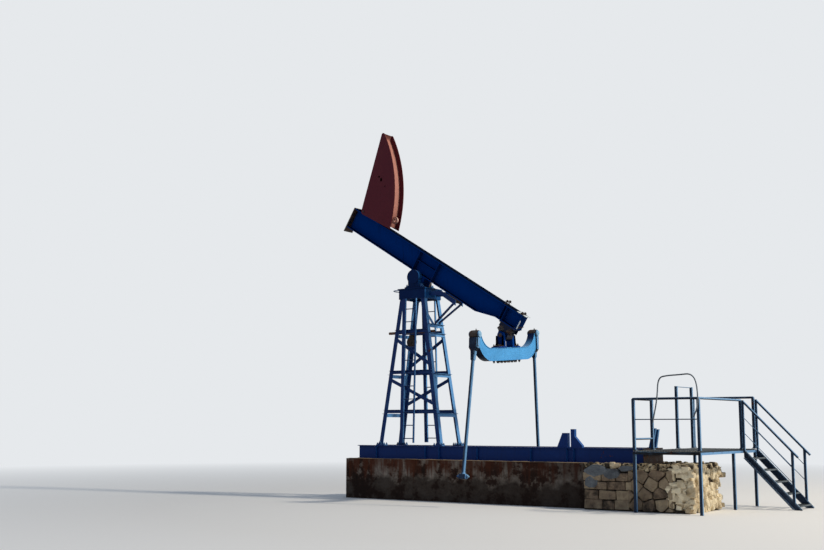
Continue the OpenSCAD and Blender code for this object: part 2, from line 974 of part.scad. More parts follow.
module platform_legs() {
    rear = platform_rear - post_w;
    color(grey_blue)
    for (p = [[platform_x, near_y], [rear, near_y], [rear, stair_near_y - 575],
              [rear, far_y - post_w], [platform_x, far_y - post_w]])
        translate([p[0], p[1], 0])
        cube([post_w, post_w, deck_z - 30 - frame_h]);
}

module platform_deck() {
    color(grey_blue)
    translate([platform_x, near_y, deck_z - 30 + seat_gap])
    cube([platform_l, platform_w, 30 - seat_gap]);
}

// Handrail post on the deck
module rail_post(x, y, top) {
    translate([x, y, deck_z + seat_gap])
    cube([post_w, post_w, top - deck_z - seat_gap]);
}

module platform_rails() {
    c = post_w / 2;
    rear = platform_rear - post_w;
    mid = -130;
    far_top = rail_z + far_rail_up;
    color(grey_blue) {
        rail_post(platform_x, near_y, rail_z);
        rail_post(rear, near_y, rail_z);
        rail_post(platform_x, mid, rail_z);
        rail_post(rear, stair_near_y - post_w, rail_z);
        rail_post(rear, far_y - post_w, far_top);
        rod([platform_x + c, near_y + c, rail_z], [rear + c, near_y + c, rail_z], rail_r);
        rod([platform_x + c, near_y + c, rail_z], [platform_x + c, mid + c, rail_z], rail_r);
        rod([rear + c, near_y + c, rail_z], [rear + c, stair_near_y - c, rail_z], rail_r);
        rod([platform_x + c, far_y - c, far_top], [rear + c, far_y - c, far_top], rail_r);
        for (p = [[platform_x + c, near_y + c], [rear + c, near_y + c], [platform_x + c, mid + c],
                  [rear + c, stair_near_y - c]])
            translate([p[0], p[1], rail_z])
            sphere(r = rail_r);
        for (p = [[platform_x + c, far_y - c], [rear + c, far_y - c]])
            translate([p[0], p[1], far_top])
            sphere(r = rail_r);
        rod([platform_x + c, near_y + c, deck_z + 220], [platform_x + c, mid + c, deck_z + 220], 20);
        rod([platform_x + c, near_y + c, deck_z + 600], [rear + c, near_y + c, deck_z + 600], 10);
        rail_post(platform_x, far_y - post_w, far_top);
    }
}

// Bent pipe outside the near handrail, held at the rear post
hoop_x = [440, 565, 585, 700, 1030, 1200, 1300, 1355, 1360, 1270];
hoop_z = [530, 1090, 1370, 1430, 1445, 1460, 1380, 1230, 850, 640];

module hoop_rail() {
    r = 12;
    knuckle_r = r + 2;
    y = near_y - knuckle_r - seat_gap;
    color(grey_blue)
    for (i = [0 : len(hoop_x) - 2]) {
        a = [platform_x + hoop_x[i], y, deck_z + hoop_z[i]];
        b = [platform_x + hoop_x[i + 1], y, deck_z + hoop_z[i + 1]];
        rod(a, b, r);
        if (i < len(hoop_x) - 2)
            translate(b)
            sphere(r = knuckle_r);
    }
}

gate_y = [1190, 2040];

module gate_frame() {
    top = deck_z + gate_h;
    c = post_w / 2;
    color(grey_blue) {
        for (y = gate_y)
            rail_post(platform_x, y, top);
        rod([platform_x + c, gate_y[0] + c, top - 12], [platform_x + c, gate_y[1] + c, top - 12], 8);
    }
}

// Stair down from the rear edge of the deck

// Depth of a stringer, plumb
stringer_h = 165;
stair_run = deck_z * going / riser;

module stair_stringers() {
    color(grey_blue)
    for (y = [stair_near_y, far_y - 12])
        translate([platform_rear + seat_gap, y, 0])
        rotate([90, 0, 0])
        translate([0, 0, -12])
        linear_extrude(12)
        polygon([[0, deck_z], [0, deck_z - stringer_h], [stair_run - stringer_h * going / riser, 0],
                 [stair_run, 0]]);
}

module stair_treads() {
    color(grey_blue)
    for (i = [0 : treads - 1]) {
        drop = first_drop + i * riser;
        translate([platform_rear + drop * going / riser - 160, stair_near_y + 12 + seat_gap,
                   deck_z - drop - 30])
        cube([200, stair_w - 24 - 2 * seat_gap, 30]);
    }
}

module stair_rails() {
    x0 = platform_rear + seat_gap;
    reach = (treads - 0.54) * going;
    past = going / 2;
    color(grey_blue)
    for (s = [-1, 1]) {
        y = s < 0 ? stair_near_y - 20 - seat_gap : far_y + 20 + seat_gap;
        top = s < 0 ? rail_z : rail_z + far_rail_up - 40;
        rod([x0 + 20, y, top - 20 * riser / going],
            [x0 + reach + past, y, top - (reach + past) * riser / going], rail_r);
        for (low = [330, 640])
            rod([x0 + 8, y, top - low - 8 * riser / going],
                [x0 + reach, y, top - low - reach * riser / going], 7);
        translate([x0 + reach - 25, y - 20, 120])
        cube([50, 40, top - reach * riser / going - 120]);
        translate([x0, y - 20, deck_z - 60])
        cube([40, 40, top - deck_z + 60]);
    }
}

plinth();
stone_pier();
runner(-1);  // runner_near
runner(1);  // runner_far
base_crossbeams();
leg("front", "near");  // leg_front_near
leg("front", "far");  // leg_front_far
leg("rear", "near");  // leg_rear_near
leg("rear", "far");  // leg_rear_far
side_bracing("near");  // bracing_near
side_bracing("far");  // bracing_far
end_bracing("front");  // bracing_front
end_bracing("rear");  // bracing_rear
post_cap();
base_end_plate();
base_stubs();
old_pipe();
front_hoop();
ladder("near");  // ladder_near
ladder("far");  // ladder_far
saddle_bearing("near");  // saddle_bearing_near
saddle_bearing("far");  // saddle_bearing_far
beam_rest();
rest_timber();
platform_frame();
platform_legs();
platform_deck();
platform_rails();
hoop_rail();
gate_frame();
stair_stringers();
stair_treads();
stair_rails();
walking_beam();
beam_end_plate();
saddle_block();
tail_hanger();
head_plates();
head_groove();
head_pin();
rope_eye();
equalizer_beam();
equalizer_pedestals();
equalizer_shaft();
pitman_near();
pitman_far();
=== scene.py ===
import json
import math
import random
import bmesh
import bpy
from mathutils import Matrix, Vector, noise


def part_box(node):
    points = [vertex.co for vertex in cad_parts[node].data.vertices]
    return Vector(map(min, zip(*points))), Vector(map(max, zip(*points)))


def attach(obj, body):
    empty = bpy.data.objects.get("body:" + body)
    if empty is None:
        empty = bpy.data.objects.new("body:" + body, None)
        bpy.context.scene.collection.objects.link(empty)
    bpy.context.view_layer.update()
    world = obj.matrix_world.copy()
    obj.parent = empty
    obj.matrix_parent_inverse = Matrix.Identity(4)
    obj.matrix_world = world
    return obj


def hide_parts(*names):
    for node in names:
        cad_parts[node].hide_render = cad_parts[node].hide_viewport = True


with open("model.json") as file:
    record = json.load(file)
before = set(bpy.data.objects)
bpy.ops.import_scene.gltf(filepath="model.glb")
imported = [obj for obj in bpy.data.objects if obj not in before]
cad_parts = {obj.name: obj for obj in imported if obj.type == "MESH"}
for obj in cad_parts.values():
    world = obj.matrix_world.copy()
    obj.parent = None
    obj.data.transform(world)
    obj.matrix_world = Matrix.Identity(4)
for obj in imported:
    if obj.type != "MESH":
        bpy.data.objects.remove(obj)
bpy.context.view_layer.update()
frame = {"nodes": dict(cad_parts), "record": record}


# Camera, light and floor
# The camera stands where the photograph was taken from, at eye height on the ground.
# One wide lamp behind the tail does the sun's work, and the sky fills the shade.
camera = bpy.data.objects.new("camera", bpy.data.cameras.new("camera"))
camera.data.sensor_width = 36
camera.data.sensor_fit = "HORIZONTAL"
camera.data.lens = 48.62
camera.data.clip_end = 500
camera.location = (15.051, -21.488, 1.658)
camera.rotation_euler = (math.radians(97.75), 0, math.radians(35.42))
bpy.context.scene.collection.objects.link(camera)
bpy.context.scene.camera = camera
bpy.context.scene.view_settings.view_transform = "Standard"


def colour(text):
    channels = [int(text[i:i + 2], 16) / 255 for i in (1, 3, 5)]
    return [c / 12.92 if c <= 0.04045 else ((c + 0.055) / 1.055) ** 2.4 for c in channels] + [1]


def add(tree, kind, inputs=None, stops=None, **settings):
    """One shader node: its settings, its values or links, and a ramp's stops as (position, hex)."""
    node = tree.nodes.new("ShaderNode" + kind)
    for key, value in settings.items():
        setattr(node, key, value)
    for key, value in (inputs or {}).items():
        if isinstance(value, bpy.types.NodeSocket):
            tree.links.new(value, node.inputs[key])
        else:
            node.inputs[key].default_value = value
    for i, (at, tint) in enumerate(stops or ()):
        steps = node.color_ramp.elements
        if i == 0:
            steps.remove(steps[1])
            steps[0].position = at
        step = steps[0] if i == 0 else steps.new(at)
        step.color = colour(tint)
    return node


def lamp(name, place, target, size, power, tint):
    light = bpy.data.lights.new(name, "AREA")
    light.shape = "DISK"
    light.size = size
    light.energy = power
    light.color = colour(tint)[:3]
    holder = bpy.data.objects.new(name, light)
    holder.location = place
    holder.rotation_euler = (Vector(target) - Vector(place)).to_track_quat("-Z", "Y").to_euler()
    bpy.context.scene.collection.objects.link(holder)


lamp("sun_side", (27.8, 6.6, 26.7), (1, 0, 4), 3, 9800, "#fff3e0")
lamp("sky_side", (-6, -26, 16), (2, 0, 3), 14, 450, "#dbe8ff")

backdrop_white = colour("#e6e9ec")
world = bpy.data.worlds.new("sky")
bpy.context.scene.world = world
world.use_nodes = True
tree = world.node_tree
tree.nodes.clear()
rays = add(tree, "LightPath")
seen = add(tree, "Math", {0: rays.outputs["Is Camera Ray"], 1: rays.outputs["Is Glossy Ray"]},
           operation="MAXIMUM")
fill = add(tree, "Background", {"Color": colour("#c9daf2"), "Strength": 0.34})
backdrop = add(tree, "Background", {"Color": backdrop_white, "Strength": 1.0})
either = add(tree, "MixShader", {0: seen.outputs[0], 1: fill.outputs[0], 2: backdrop.outputs[0]})
add(tree, "OutputWorld", {"Surface": either.outputs[0]})


def material(name):
    """A new material, with its node tree and its Object coordinates."""
    made = bpy.data.materials.new(name)
    made.use_nodes = True
    tree = made.node_tree
    tree.nodes.clear()
    return made, tree, add(tree, "TexCoord").outputs["Object"]


# The floor is matt white and turns into the backdrop between 8 and 30 m away
floor_finish, tree, place = material("matt_white_floor")
away = add(tree, "VectorMath", {0: place}, operation="LENGTH")
far = add(tree, "MapRange", {"Value": away.outputs["Value"], "From Min": 8, "From Max": 30})
rays = add(tree, "LightPath")
share = add(tree, "Math", {0: far.outputs[0], 1: rays.outputs["Is Camera Ray"]}, operation="MULTIPLY")
skin = add(tree, "BsdfPrincipled", {"Base Color": colour("#ececea"), "Roughness": 0.95})
glow = add(tree, "Emission", {"Color": backdrop_white, "Strength": 1.0})
either = add(tree, "MixShader", {0: share.outputs[0], 1: skin.outputs[0], 2: glow.outputs[0]})
add(tree, "OutputMaterial", {"Surface": either.outputs[0]})
bm = bmesh.new()
bmesh.ops.create_circle(bm, cap_ends=True, segments=64, radius=160)
mesh = bpy.data.meshes.new("studio_floor")
bm.to_mesh(mesh)
bm.free()
mesh.materials.append(floor_finish)
studio_floor = bpy.data.objects.new("studio_floor", mesh)
studio_floor.location = (3, 0, -0.002)
bpy.context.scene.collection.objects.link(studio_floor)

# Concrete plinth
# Cast in board formwork, and stained dark by oil and by rust that ran down from the
# base frame. Only patches of the grey cement skin are left.


def cloud(tree, place, scale, detail, roughness=0.5):
    """Noise from 0 to 1. The scale is in clouds per metre."""
    return add(tree, "TexNoise", {"Vector": place, "Scale": scale, "Detail": detail,
                                  "Roughness": roughness}).outputs["Fac"]


def span(tree, value, low, high, start=0.0, end=1.0):
    """Maps a value between low and high to start and end, and holds it there beyond them."""
    return add(tree, "MapRange", {"Value": value, "From Min": low, "From Max": high, "To Min": start,
                                  "To Max": end}).outputs[0]


def figure(tree, operation, *values, clamp=False):
    return add(tree, "Math", dict(enumerate(values)), operation=operation, use_clamp=clamp).outputs[0]


def layer(tree, share, under, over):
    """One colour laid over another by a share."""
    return add(tree, "Mix", {"Factor": share, "A": under, "B": over}, data_type="RGBA").outputs["Result"]


def surface(tree, tint, roughness, height, strength, depth, shine=0.5):
    """The skin: colour, roughness, relief from a height field and its depth in metres, and shine."""
    relief = add(tree, "Bump", {"Height": height, "Strength": strength, "Distance": depth})
    skin = add(tree, "BsdfPrincipled", {"Base Color": tint, "Roughness": roughness,
                                        "Specular IOR Level": shine, "Normal": relief.outputs[0]})
    add(tree, "OutputMaterial", {"Surface": skin.outputs[0]})


def stained_concrete():
    made, tree, place = material("board_cast_concrete_with_rust_runs")
    axes = add(tree, "SeparateXYZ", {0: place})
    # Oil and rust in clouds about half a metre across over the cement
    cement = add(tree, "ValToRGB", {"Fac": cloud(tree, place, 2.4, 12, 0.7)},
                 stops=((0.40, "#1a110d"), (0.47, "#33211a"), (0.495, "#655a51"), (0.62, "#8d8379")))
    # Rust runs, densest under the base frame: about 60 mm wide and long downwards
    stretched = add(tree, "Mapping", {"Vector": place, "Scale": (9, 9, 0.8)})
    runs = figure(tree, "MULTIPLY", cloud(tree, stretched.outputs[0], 1.0, 6, 0.6),
                  span(tree, axes.outputs["Z"], -0.3, 0.8))
    tint = layer(tree, span(tree, runs, 0.36, 0.54, 0.0, 0.92), cement.outputs[0], colour("#4a2617"))
    # Oil has soaked in more and more toward the tail
    tint = layer(tree, span(tree, axes.outputs["X"], 0.8, 4.2, 0.1, 0.5), tint, colour("#160d0a"))
    # Painted shadow along the foot, with an uneven upper edge
    edge = figure(tree, "MULTIPLY_ADD", cloud(tree, place, 1.6, 8, 0.6), -1.1, axes.outputs["Z"])
    tint = layer(tree, span(tree, edge, 0.0, -0.16, 0.0, 0.8), tint, colour("#1c120e"))
    # Sand that the wind left on the top
    up = add(tree, "SeparateXYZ", {0: add(tree, "NewGeometry").outputs["Normal"]}).outputs["Z"]
    tint = layer(tree, span(tree, up, 0.6, 0.95, 0.0, 0.7), tint, colour("#a08d70"))
    # Board marks: one line every 150 mm, over grit of about 10 mm and broken patches
    boards = span(tree, figure(tree, "PINGPONG", axes.outputs["Z"], 0.15), 0.0, 0.006)
    grit = figure(tree, "ADD", boards, cloud(tree, place, 90, 6, 0.7))
    rough = figure(tree, "MULTIPLY_ADD", cloud(tree, place, 6, 8, 0.65), 4.0, grit)
    surface(tree, tint, 0.92, rough, 0.6, 0.008, shine=0.15)
    return made


def dress(finish, *nodes):
    for name in nodes:
        for slot in frame["nodes"][name].material_slots:
            slot.material = finish


concrete = stained_concrete()
dress(concrete, "plinth")


def link(name, bm, finish, body):
    mesh = bpy.data.meshes.new(name)
    bm.to_mesh(mesh)
    bm.free()
    mesh.materials.append(finish)
    piece = bpy.data.objects.new(name, mesh)
    bpy.context.scene.collection.objects.link(piece)
    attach(piece, body)
    return piece


def ridge(bm, low, high, crest, seed):
    """A low heap of dirt between two corners, crest high, its edges running out to nothing."""
    low, high = Vector(low), Vector(high)
    size = high - low
    cells = [max(3, round(size.x / 0.05)), max(3, round(size.y / 0.03))]
    heap = bmesh.ops.create_grid(bm, x_segments=cells[0], y_segments=cells[1], size=0.5)["verts"]
    bmesh.ops.scale(bm, vec=(size.x, size.y, 1), verts=heap)
    bmesh.ops.translate(bm, vec=((low.x + high.x) / 2, (low.y + high.y) / 2, low.z), verts=heap)
    inner = [v for v in heap if not v.is_boundary]
    laid = set(heap)
    faces = [f for f in bm.faces if f.verts[0] in laid]
    under = bmesh.ops.extrude_face_region(bm, geom=faces)["geom"]
    below = [v for v in under if isinstance(v, bmesh.types.BMVert)]
    bmesh.ops.translate(bm, vec=(0, 0, -0.004), verts=below)
    for v in inner:
        lump = noise.fractal(Vector((v.co.x * 5, v.co.y * 9, seed)), 0.8, 2.2, 5)
        v.co.z += crest * max(0.05, 0.55 + 0.7 * lump)
    return heap


bm = bmesh.new()
low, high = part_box("plinth")
runner_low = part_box("runner_near")[0]
side_y = runner_low[1] - 0.002
ridge(bm, (low[0] + 0.02, low[1] + 0.01, high[2]), (high[0], side_y, high[2]), 0.014, 1)
ridge(bm, (low[0] + 0.02, -side_y, high[2]), (high[0], high[1] - 0.01, high[2]), 0.04, 2)
bmesh.ops.recalc_face_normals(bm, faces=bm.faces)
link("blown_sand_on_plinth", bm, concrete, "base")

# Stone pier
# Limestone laid in lime mortar: squared blocks at the concrete, polygonal stones behind
# them, and loose rubble where the rear end has fallen away.


def limestone(name, light, deep, moss="#3a332b"):
    made, tree, place = material(name)
    # Each stone has a shade of its own, with clouds of moss and dirt over it
    shade = add(tree, "Attribute", attribute_name="stone_tone").outputs["Fac"]
    mixed = figure(tree, "ADD", cloud(tree, place, 7, 8, 0.6), shade)
    tint = add(tree, "ValToRGB", {"Fac": mixed}, stops=((0.3, moss), (0.48, deep), (0.95, light)))
    # Pits and pores of 5 to 30 mm
    pores = add(tree, "TexVoronoi", {"Vector": place, "Scale": 60})
    pitted = figure(tree, "ADD", cloud(tree, place, 30, 8, 0.72), pores.outputs["Distance"])
    surface(tree, tint.outputs[0], 0.93, pitted, 0.8, 0.016, shine=0.15)
    return made


def block(bm, low, high, turn=None):
    """A closed box between two corners, turned by a matrix if one is given."""
    low, high = Vector(low), Vector(high)
    made = bmesh.ops.create_cube(bm, size=1)["verts"]
    bmesh.ops.scale(bm, vec=high - low, verts=made)
    bmesh.ops.translate(bm, vec=(low + high) / 2, verts=made)
    if turn:
        bmesh.ops.transform(bm, matrix=turn, verts=made)
    return made


def hewn(low, high, cuts, worn, rng, segments=2):
    """One stone: a box split along each (point, direction), with worn edges and a bossed face."""
    one = bmesh.new()
    block(one, low, high)
    for point, direction in cuts:
        everything = one.verts[:] + one.edges[:] + one.faces[:]
        cut = bmesh.ops.bisect_plane(one, geom=everything, plane_co=point, plane_no=direction,
                                     clear_outer=True)
        rim = [e for e in cut["geom_cut"] if isinstance(e, bmesh.types.BMEdge)]
        if rim:
            bmesh.ops.holes_fill(one, edges=rim)
    if one.faces:
        bmesh.ops.bevel(one, geom=one.edges[:], offset=worn, segments=segments, profile=0.5,
                        affect="EDGES", material=-1)
        bmesh.ops.triangulate(one, faces=[f for f in one.faces if len(f.verts) > 4])
        shift = Vector(rng.uniform(0, 9) for _ in range(3))
        for v in one.verts:
            v.co += noise.noise_vector(v.co * 9 + shift) * worn * 0.8
    return one


def gather(bm, tone, one, shade):
    """Moves a stone into the wall's mesh and gives it a shade of its own."""
    laid = len(bm.verts)
    carrier = bpy.data.meshes.new("stone")
    one.to_mesh(carrier)
    one.free()
    bm.from_mesh(carrier)
    bpy.data.meshes.remove(carrier)
    bm.verts.ensure_lookup_table()
    for v in bm.verts[laid:]:
        v[tone] = shade


stone_finish = limestone("hand_squared_limestone", "#b3a083", "#7b6957")
mortar_finish = limestone("lime_mortar_and_rubble", "#6b5f52", "#3a322b", "#241e1a")
low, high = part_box("stone_pier")
rng = random.Random(11)
# Without a seed, the noise that wears the stones would differ from run to run
noise.seed_set(11)

# The core is mortar and small stones, level only where the runners lie on it
core = bmesh.new()
core_in, broken_from = 0.05, 6.5
block(core, (low[0], low[1] + core_in, 0), (high[0] - 2 * core_in, high[1] - core_in, high[2]))
bmesh.ops.subdivide_edges(core, edges=core.edges[:], cuts=28, use_grid_fill=True)
core.normal_update()
for v in core.verts:
    rough = abs(noise.fractal(v.co * 6, 0.8, 2.2, 5)) * 0.07
    if v.co.z > high[2] - 0.001:
        under_runner = v.co.x < 5.9 and 0.25 < abs(v.co.y) < 0.56
        v.co.z -= 0.0 if under_runner else min(rough, 0.05)
    elif v.co.z > 0.001:
        v.co -= Vector((v.normal.x, v.normal.y, 0)) * rough * (0.5 if v.co.x < broken_from else 1.4)
pier_core = link("pier_core", core, mortar_finish, "base")
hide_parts("stone_pier")


def turned(one, out, across):
    """Stands a stone that was cut on the near face's plane on the face it belongs to."""
    if across == "x":
        turn = Matrix.Translation((0, out, 0)) @ Matrix.Diagonal((1, 1 if out < 0 else -1, 1, 1))
    else:
        turn = Matrix.Translation((out, 0, 0)) @ Matrix.Rotation(math.pi / 2, 4, "Z")
    bmesh.ops.transform(one, matrix=turn, verts=one.verts)
    return one


def squared_blocks(bm, tone, a, b, out):
    """Courses of squared blocks between two corners, with mortar joints of 10 to 20 mm."""
    joint = 0.008
    up = a[1]
    while up < b[1] - 0.06:
        rise = min(rng.uniform(0.16, 0.23), b[1] - up)
        at = a[0] + rng.uniform(0, 0.03)
        while at < b[0] - 0.05:
            wide = min(rng.uniform(0.24, 0.42), b[0] - at + rng.uniform(0, 0.12))
            tilt = rng.uniform(-0.05, 0.05)
            cuts = [(Vector((at + joint, 0, up)), Vector((-1, 0, tilt))),
                    (Vector((at + wide - joint, 0, up)), Vector((1, 0, rng.uniform(-0.06, 0.06)))),
                    (Vector((at, 0, up + rise - joint)), Vector((rng.uniform(-0.06, 0.06), 0, 1)))]
            one = hewn((at - 0.02, -rng.uniform(0.005, 0.035), up + 0.006),
                       (at + wide + 0.02, 0.12, up + rise), cuts, 0.014, rng)
            gather(bm, tone, turned(one, out, "x"), rng.uniform(-0.1, 0.34))
            at += wide
        up += rise


def random_stones(bm, tone, a, b, across, out, depth, pitch=0.3):
    """Fills a face from corner a to b with polygonal stones, one round each shifted centre."""
    rows = round((b[1] - a[1]) / (pitch * 0.62))
    rise = (b[1] - a[1]) / rows
    centres = []
    for row in range(-1, rows + 1):
        at = a[0] - 0.2 + (pitch / 2 if row % 2 else 0)
        while at < b[0] + 0.3:
            # The rows lose their order toward the rear
            loose = 0.03 + 0.05 * min(1, max(0, (at - a[0]) / (b[0] - a[0])))
            centres.append(Vector((at + rng.uniform(-loose, loose), 0,
                                   a[1] + (row + 0.5) * rise + rng.uniform(-loose, loose) * 0.8)))
            at += rng.uniform(0.75, 1.25) * pitch
    for centre in centres:
        if not (a[0] - 0.1 < centre.x < b[0] + 0.1 and a[1] - 0.08 < centre.z < b[1] + 0.08):
            continue
        cuts = []
        for other in centres:
            between = other - centre
            if 0 < between.length < 0.7:
                joint = between.normalized() * rng.uniform(0.004, 0.014)
                cuts.append((centre + between / 2 - joint, between))
        start = (max(a[0], centre.x - 0.5), -rng.uniform(0.0, 0.045), max(a[1], centre.z - 0.4))
        end = (min(b[0], centre.x + 0.5), depth, min(b[1], centre.z + 0.4))
        if start[0] >= end[0] or start[2] >= end[2]:
            continue
        one = hewn(start, end, cuts, 0.014, rng)
        gather(bm, tone, turned(one, out, across), rng.uniform(-0.16, 0.3))


bm = bmesh.new()
tone = bm.verts.layers.float.new("stone_tone")
squared_end = low[0] + 1.0
for out in (low[1], high[1]):
    squared_blocks(bm, tone, (low[0] + 0.01, 0.02), (squared_end, high[2] - 0.13), out)
    random_stones(bm, tone, (squared_end, 0.02), (high[0] - 0.42, high[2] - 0.1), "x", out, 0.12)
random_stones(bm, tone, (low[1] + 0.06, 0.02), (high[1] - 0.06, high[2] - 0.2), "y", high[0] - 0.16, 0.1)
bmesh.ops.recalc_face_normals(bm, faces=bm.faces)
link("pier_stones", bm, stone_finish, "base")


def rock(middle, size, rng):
    """A broken stone: a box split by six random planes round its middle."""
    middle = Vector(middle)
    cuts = []
    for _ in range(6):
        way = Vector(rng.gauss(0, 1) for _ in range(3)).normalized()
        cuts.append((middle + way * size * rng.uniform(0.62, 0.95), way))
    half = Vector((size, size * rng.uniform(0.6, 0.9), size * rng.uniform(0.5, 0.8)))
    return hewn(middle - half, middle + half, cuts, size * 0.12, rng, 1)


# The rear end is broken away: stones fill its slope and its corners, small ones the
# top courses, and pebbles lie on the top. None reaches below the ground.
bm = bmesh.new()
tone = bm.verts.layers.float.new("stone_tone")
sides = (low[1] + 0.05, low[1] + 0.05, high[1] - 0.05)
for _ in range(230):
    z = rng.uniform(0.04, high[2] - 0.03)
    y = rng.uniform(low[1] + 0.06, high[1] - 0.06)
    size = rng.uniform(0.05, 0.12)
    x = high[0] - 0.1 - 0.1 * z + 0.09 * noise.noise(Vector((0, y * 2, z * 3)))
    gather(bm, tone, rock((x, y, z), size, rng), rng.uniform(0.05, 0.6))
for _ in range(110):
    side = rng.choice(sides)
    x = high[0] - 0.05 - 0.45 * rng.random() ** 1.2
    gather(bm, tone, rock((x, side, rng.uniform(0.04, high[2] - 0.04)), rng.uniform(0.045, 0.1), rng),
           rng.uniform(0.0, 0.5))
for _ in range(130):
    x = rng.uniform(low[0] + 0.05, high[0] - 0.15)
    side = rng.choice(sides)
    gather(bm, tone, rock((x, side, high[2] - rng.uniform(0.0, 0.11)), rng.uniform(0.025, 0.065), rng),
           rng.uniform(-0.25, 0.15))
for _ in range(260):
    x = rng.uniform(low[0] + 0.1, high[0] - 0.1)
    y = rng.choice((rng.uniform(low[1] + 0.05, runner_low[1] - 0.07), rng.uniform(0.55, high[1] - 0.05),
                    rng.uniform(-0.3, 0.3)))
    size = rng.uniform(0.015, 0.045)
    gather(bm, tone, rock((x, y, high[2] - 0.02 + size * 0.3), size, rng), rng.uniform(-0.25, 0.2))
for v in bm.verts:
    v.co.z = max(v.co.z, 0.0)
bmesh.ops.recalc_face_normals(bm, faces=bm.faces)
# The rubble's pale colours are the limestone's own and painted sunlight on its shaded faces
link("pier_rubble", bm, limestone("broken_limestone_painted_sunlit", "#fbeccb", "#bba684"), "base")

# A ragged patch of lime render is left on the near side, next to the concrete
bm = bmesh.new()
tone = bm.verts.layers.float.new("stone_tone")
flakes = (((4.9, 0.78), (0.3, 0.12)), ((5.25, 0.72), (0.22, 0.1)), ((5.55, 0.83), (0.2, 0.055)),
          ((4.8, 0.55), (0.17, 0.13)))
edges_of_a_flake = 9
for middle, half in flakes:
    cuts = []
    for k in range(edges_of_a_flake):
        angle = 2 * math.pi * k / edges_of_a_flake + rng.uniform(-0.2, 0.2)
        way = Vector((math.cos(angle), 0, math.sin(angle)))
        reach = Vector((half[0] * way.x, 0, half[1] * way.z)) * rng.uniform(0.8, 1)
        cuts.append((Vector((middle[0], 0, middle[1])) + reach, way))
    one = hewn((middle[0] - half[0], low[1] - 0.034, middle[1] - half[1]),
               (middle[0] + half[0], low[1] + 0.05, min(high[2] - 0.01, middle[1] + half[1])),
               cuts, 0.008, rng)
    gather(bm, tone, one, rng.uniform(0.0, 0.3))
bmesh.ops.recalc_face_normals(bm, faces=bm.faces)
link("lime_render_patch", bm, limestone("lime_render", "#7f8488", "#5a5e62", "#3b3a3a"), "base")

# Painted steel
# Rolled sections and plate, brush painted outdoors, chipped to rust, with dirt runs under the
# ledges. Sunlight and shade are painted in: lighter on faces toward the sun, deep on those away.


def weathered_paint(name, shaded, painted_sunlit, rust_share, dust_and_top_shade_share=0.35, gloss=0.42, dust_and_top_shade="#8b7f6a",
                    shine=0.12):
    made, tree, place = material(name)
    normal = add(tree, "NewGeometry").outputs["Normal"]
    up = add(tree, "SeparateXYZ", {0: normal}).outputs["Z"]
    # Painted sunlight: faces turned toward the sun, which stands behind the tail, take the lighter colour
    toward = add(tree, "VectorMath", {0: normal, 1: (0.77, 0.1, 0.63)}, operation="DOT_PRODUCT")
    sun = span(tree, toward.outputs["Value"], 0.2, 0.72)
    # Fading in clouds about 0.4 m across
    worn = span(tree, cloud(tree, place, 2.6, 7, 0.6), 0.25, 0.75, -0.12, 0.1)
    # Painted sunlight, with the fading clouds laid over it
    sunlit_and_faded_share = figure(tree, "MULTIPLY_ADD", sun, 0.85, worn, clamp=True)
    tint = layer(tree, sunlit_and_faded_share, colour(shaded), colour(painted_sunlit))
    # Dirt runs, about 30 mm wide and up to a metre long
    stretched = add(tree, "Mapping", {"Vector": place, "Scale": (22, 22, 1.3)})
    runs = cloud(tree, stretched.outputs[0], 1.0, 5, 0.6)
    tint = layer(tree, span(tree, runs, 0.55, 0.78, 0.0, 0.35), tint, colour("#0d0e14"))
    # Settled dust on what faces up; on the beam this layer is near black, painted shade on its top
    ledge = span(tree, up, 0.7, 1.0, 0.0, 1.6 * dust_and_top_shade_share)
    settled_dust_and_top_shade = figure(tree, "MULTIPLY", ledge, cloud(tree, place, 14, 6), clamp=True)
    tint = layer(tree, settled_dust_and_top_shade, tint, colour(dust_and_top_shade))
    # Painted shade: what faces down is darkened toward near black
    tint = layer(tree, span(tree, up, -0.15, -0.75, 0.0, 0.8), tint, colour("#04060c"))
    # Rust in chips of 5 to 60 mm, in areas about 0.6 m across
    chips = figure(tree, "MULTIPLY", cloud(tree, place, 13, 10, 0.68), cloud(tree, place, 1.7, 3))
    edge = 0.47 - 0.17 * rust_share
    chipped = span(tree, chips, edge, edge + 0.02)
    rust = add(tree, "ValToRGB", {"Fac": cloud(tree, place, 40, 6)},
               stops=((0.35, "#22110c"), (0.7, "#6f3c22")))
    tint = layer(tree, chipped, tint, rust.outputs[0])
    # Rust is dull, and lies a hair deeper than the brush marks
    height = figure(tree, "SUBTRACT", cloud(tree, place, 160, 4), chipped)
    surface(tree, tint, span(tree, chipped, 0.0, 1.0, gloss, 0.88), height, 0.25, 0.002, shine)
    return made


runner_paint = weathered_paint("deep_blue_runner_paint", "#082a66", "#2a62ab", 0.4, dust_and_top_shade_share=0.6,
                               dust_and_top_shade="#8a7860")
tower_paint = weathered_paint("blue_brush_paint_painted_sunlit", "#102c60", "#6fb0ee", 0.34)
# The beam's layer on what faces up is near black and covers its top: painted shade on the top flange
beam_paint = weathered_paint("deep_blue_beam_paint", "#033176", "#0f4190", 0.24, dust_and_top_shade_share=4.0, gloss=0.5,
                             dust_and_top_shade="#081227", shine=0.0)
equalizer_paint = weathered_paint("light_blue_gloss_paint", "#0a2450", "#5db7fb", 0.26)
pitman_paint = weathered_paint("blue_tube_paint", "#081630", "#7cb2e4", 0.45)
platform_paint = weathered_paint("grey_blue_gloss_paint", "#1c2a3e", "#7fabd6", 0.42)
dress(runner_paint, "runner_near", "runner_far", "base_crossbeams", "base_stubs")
dress(tower_paint, "leg_front_near", "leg_front_far", "leg_rear_near", "leg_rear_far", "bracing_near",
      "bracing_far", "bracing_front", "bracing_rear", "ladder_near", "ladder_far", "beam_rest")
